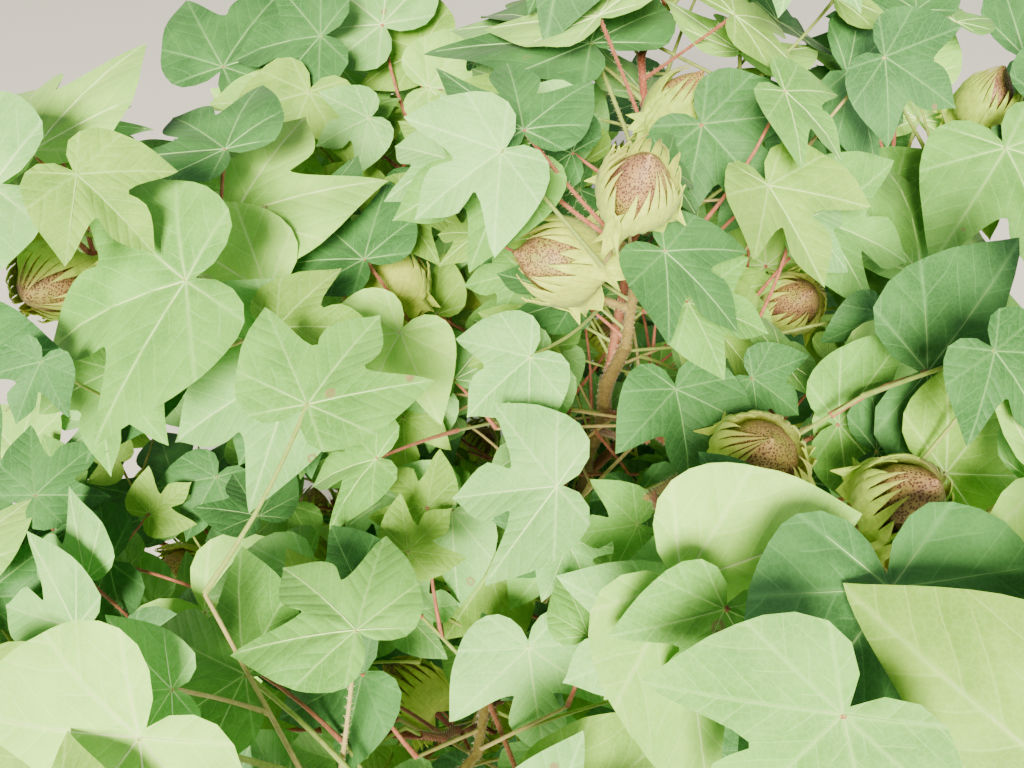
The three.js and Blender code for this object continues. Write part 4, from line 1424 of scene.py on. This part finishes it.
# The fine leaves fill the inner gaps of the crown, so they take the deep tint twice as often and never the
# pale one: painted shade in the inner crown
FINE_SHADE_TINTS = ("leaves_deep_shaded", "leaves_mid", "leaves_deep_shaded", "leaves_grass", "leaves_mint")
VEINS_OF = {"leaves_pale": "leaf_veins_pale", "leaves_mint": "leaf_veins_pale",
            "leaves_mid": "leaf_veins_light", "leaves_grass": "leaf_veins_light",
            "leaves_deep_shaded": "leaf_veins_shaded"}
STALK_TINTS = ("leaf_stalks_pink", "leaf_stalks_tan", "leaf_stalks_green")
RED_TWIGS = 0.55
GREEN_FINE_TWIGS = 0.7
PALE_BRACTS = 0.6

FOLIAGE_NODES = [mass["mass"] for mass in masses]
BOUGH_NODES = [plan["bough"] for plan in branches]

# Twigs of the foliage: where each stretch has its rings, and radii in millimetres
SHOOT_RINGS = (0.0, 0.08, 0.3, 0.6, 0.9)
NODE_THICKEN = 1.22
SIDE_TWIG_RINGS = 5
SIDE_TWIG_TIP_RADIUS = 1.6
FINE_TWIG_RINGS = 4
FINE_TWIG_TIP_RADIUS = 0.9


def dress_twig(pile, low, high, radii, sides):
    spots = mixed(low, high, np.linspace(0, 1, len(radii)))
    pile.add(*tube(spots, radii, sides))
    return spots


def dress_shoot(mass, bark, hairs):
    path, radii = [], []
    for k in range(mass["nodes"]):
        low, high = mass["points"][k], mass["points"][k + 1]
        for share in SHOOT_RINGS:
            swell = NODE_THICKEN if share == 0 and k else 1
            path.append(lerp(low, high, share))
            radii.append(lerp(mass["radii"][k], mass["radii"][k + 1], share) * swell)
    path.append(mass["points"][-1])
    radii.append(mass["radii"][-1])
    bark.add(*tube(path, radii, TWIG_SIDES))
    add_hairs(hairs, path, radii, SHOOT_HAIR_STEP)


def dress_boll(boll, piles, bark, capsule, kinds, draw):
    dress_twig(bark, boll["base"], boll["foot"] + boll["axis"] * PEDICEL_SUNK, PEDICEL_RADII, TWIG_SIDES)
    spin = 2 * math.pi * draw()
    bracts = kinds[int(draw() * BOLL_KINDS)]
    tint = "bracts_pale" if draw() < PALE_BRACTS else "bracts_green"
    for name, shape in [("boll_capsules", capsule)] + [(tint, bract) for bract in bracts]:
        points, quads, tris, uv = shape
        piles[name].add(placed(points, boll, spin), quads, tris, uv)


def dress_masses():
    piles = {name: Pile() for name in FOLIAGE}
    hairs = piles["twig_hairs"]
    kinds, capsule = bract_kinds(), capsule_shape()
    for mass in masses:
        draw = stream(mass["seed"] + LOOKS_SEED)
        red = draw() < RED_TWIGS and mass["family"] != "top"
        bark = piles["twigs_red" if red else "twigs_tan"]
        dress_shoot(mass, bark, hairs)
        for twig in mass["fine_twigs"]:
            tint = "leaf_stalks_green" if draw() < GREEN_FINE_TWIGS else "leaf_stalks_tan"
            radii = np.linspace(FINE_TWIG_RADIUS, FINE_TWIG_TIP_RADIUS, FINE_TWIG_RINGS)
            dress_twig(piles[tint], twig["a"], twig["b"], radii, STALK_SIDES)
        for twig in mass["twigs"]:
            radii = np.linspace(SIDE_TWIG_RADIUS, SIDE_TWIG_TIP_RADIUS, SIDE_TWIG_RINGS)
            spots = dress_twig(bark, twig["a"], twig["b"], radii, TWIG_SIDES)
            add_hairs(hairs, spots, radii, SHOOT_HAIR_STEP)
        for boll in mass["bolls"]:
            dress_boll(boll, piles, bark, capsule, kinds, draw)
        for leaf in mass["leaves"]:
            dress_leaf(leaf, draw)
            # Fine leaves draw from the tints weighted towards painted shade
            tints = FINE_SHADE_TINTS if leaf["fine"] else LEAF_TINTS
            tint = tints[int(leaf["tone"] * len(tints))]
            add_blade(piles[tint], leaf)
            add_veins(piles[VEINS_OF[tint]], leaf)
            stalk = STALK_TINTS[sum(leaf["stalk_tone"] > share for share in STALK_SHARES)]
            add_stalk(piles[stalk], hairs, leaf)
    for name, material in FOLIAGE.items():
        joined(name, piles[name], material, FOLIAGE_NODES)


dress_masses()

# The main stem and the boughs, drawn out ring by ring from a flat foot
STEM_RINGS = 48
STEM_FACES = 16
BOUGH_FACES = 12
BOUGH_STATIONS = 10
FOOT_CROWDING = 1.15
BOUGH_END_SWELL = 1.12
BARK_LUMP = 4
STEM_LUMPS = 0.7
BOUGH_LUMPS = 0.45
LUMP_LEVEL = 0.6
HAIRY_FROM = 16
FLAT_FOOT = 0.8


def drawn_out(name, path, radii, faces, relief, upright=False):
    """A limb that is extruded from a round foot, with its bark's relief pressed in."""
    path = [Vector(p * MM) for p in path]
    way = Vector(UP) if upright else path[1] - path[0]
    bpy.ops.object.select_all(action="DESELECT")
    bpy.ops.mesh.primitive_circle_add(vertices=faces, radius=radii[0] * MM, fill_type="NGON",
                                      location=path[0], rotation=way.to_track_quat("Z", "Y").to_euler())
    limb = bpy.context.object
    limb.name = name
    bpy.ops.object.mode_set(mode="EDIT")
    for i in range(1, len(path)):
        bpy.ops.mesh.extrude_region_move(TRANSFORM_OT_translate={"value": path[i] - path[i - 1]})
        size = radii[i] / radii[i - 1]
        bpy.ops.transform.resize(value=(size, size, size), center_override=path[i])
    bpy.ops.mesh.select_all(action="SELECT")
    bpy.ops.mesh.normals_make_consistent(inside=False)
    bpy.ops.object.mode_set(mode="OBJECT")
    bpy.ops.object.transform_apply(location=True, rotation=True, scale=True)
    smooth = limb.modifiers.new("round", "SUBSURF")
    smooth.subdivision_type = "SIMPLE"
    smooth.levels = smooth.render_levels = 1
    grain = bpy.data.textures.new(name + "_relief", "CLOUDS")
    grain.noise_scale = BARK_LUMP * MM
    press = limb.modifiers.new("relief", "DISPLACE")
    press.texture = grain
    press.texture_coords = "LOCAL"
    press.strength = relief * MM
    press.mid_level = LUMP_LEVEL
    for modifier in ("round", "relief"):
        bpy.ops.object.modifier_apply(modifier=modifier)
    bpy.ops.object.shade_smooth_by_angle(angle=math.radians(BARK_CREASE))
    return limb


def dress_stem():
    heights = [STEM_HEIGHT * (i / STEM_RINGS) ** FOOT_CROWDING for i in range(STEM_RINGS + 1)]
    path = [stem_point(z) for z in heights]
    radii = [stem_radius(z) for z in heights]
    stem = drawn_out("main_stem_bark", path, radii, STEM_FACES, STEM_LUMPS, upright=True)
    for corner in stem.data.vertices:
        if corner.co.z < FLAT_FOOT * MM:
            corner.co.z = 0
    finish_piece(stem, BARK, ["main_stem"])
    hairs = Pile()
    add_hairs(hairs, path[HAIRY_FROM:], radii[HAIRY_FROM:], LIMB_HAIR_STEP)
    joined("main_stem_hairs", hairs, HAIRS, ["main_stem"])


def dress_boughs():
    limbs, hairs = [], Pile()
    for plan in branches:
        root, end = plan["path"][0], plan["path"][-1]
        path, radii = [], []
        for i in range(BOUGH_STATIONS + 1):
            t = i / BOUGH_STATIONS
            line = lerp(root, end, t)
            bow = plan["path"][1] - lerp(root, end, 1 / BOUGH_RINGS)
            path.append(line + bow * math.sin(math.pi * t) / math.sin(math.pi / BOUGH_RINGS))
            swell = BOUGH_END_SWELL if i in (0, BOUGH_STATIONS) else 1
            radii.append(plan["radius"] * lerp(BOUGH_THICKEN, 1, t) * swell)
        limbs.append(drawn_out(plan["bough"] + "_bark", path, radii, BOUGH_FACES, BOUGH_LUMPS))
        add_hairs(hairs, path, radii, LIMB_HAIR_STEP)
    bpy.ops.object.select_all(action="DESELECT")
    for limb in limbs:
        limb.select_set(True)
    bpy.context.view_layer.objects.active = limbs[0]
    bpy.ops.object.join()
    limbs[0].name = "bough_bark"
    finish_piece(limbs[0], RED_BARK, BOUGH_NODES)
    joined("bough_hairs", hairs, HAIRS, BOUGH_NODES)


dress_stem()
dress_boughs()

# Plain pale floor and soft studio light. Places are in metres and powers in watts.
FLOOR_SIZE = 24.0
FLOOR_TINT = 0xe6e6e0
SKY_TINT = 0xf2f4f4
SKY = 0.28
BACKDROP = 0.95
LIGHTS_AIM = (0, 0, 0.6)
KEY = dict(place=(-1.4, -3.6, 4.2), power=1020, size=1.5, tint=0xfff2d6)
FILL = dict(place=(3.2, -1.6, 2.8), power=90, size=2.5, tint=0xffffff)


def add_floor():
    bpy.ops.object.select_all(action="DESELECT")
    bpy.ops.mesh.primitive_plane_add(size=FLOOR_SIZE, location=(0, 0, 0))
    floor = bpy.context.object
    floor.name = "floor"
    material, _, shader, _ = new_material("pale_paper_floor", {"Roughness": 0.9})
    shader.inputs["Base Color"].default_value = srgb(FLOOR_TINT)
    floor.data.materials.append(material)


def add_light(name, place, power, size, tint):
    lamp = bpy.data.lights.new(name, "AREA")
    lamp.color = srgb(tint)[:3]
    lamp.energy = power
    lamp.size = size
    holder = bpy.data.objects.new(name, lamp)
    holder.location = place
    holder.rotation_euler = (Vector(LIGHTS_AIM) - Vector(place)).to_track_quat("-Z", "Y").to_euler()
    bpy.context.collection.objects.link(holder)


def add_sky():
    """Lights the plant from all round, and shows the camera a brighter, even backdrop."""
    world = bpy.data.worlds.new("sky")
    world.use_nodes = True
    tree = world.node_tree
    light = tree.nodes["Background"]
    light.inputs["Color"].default_value = srgb(SKY_TINT)
    light.inputs["Strength"].default_value = SKY
    wall = add_node(tree, "ShaderNodeBackground", None, {"Color": srgb(SKY_TINT), "Strength": BACKDROP})
    path = tree.nodes.new("ShaderNodeLightPath")
    blend = add_node(tree, "ShaderNodeMixShader", None, {
        0: path.outputs["Is Camera Ray"], 1: light.outputs[0], 2: wall.outputs[0]})
    tree.links.new(blend.outputs[0], tree.nodes["World Output"].inputs["Surface"])
    bpy.context.scene.world = world


add_floor()
add_light("key", **KEY)
add_light("fill", **FILL)
add_sky()
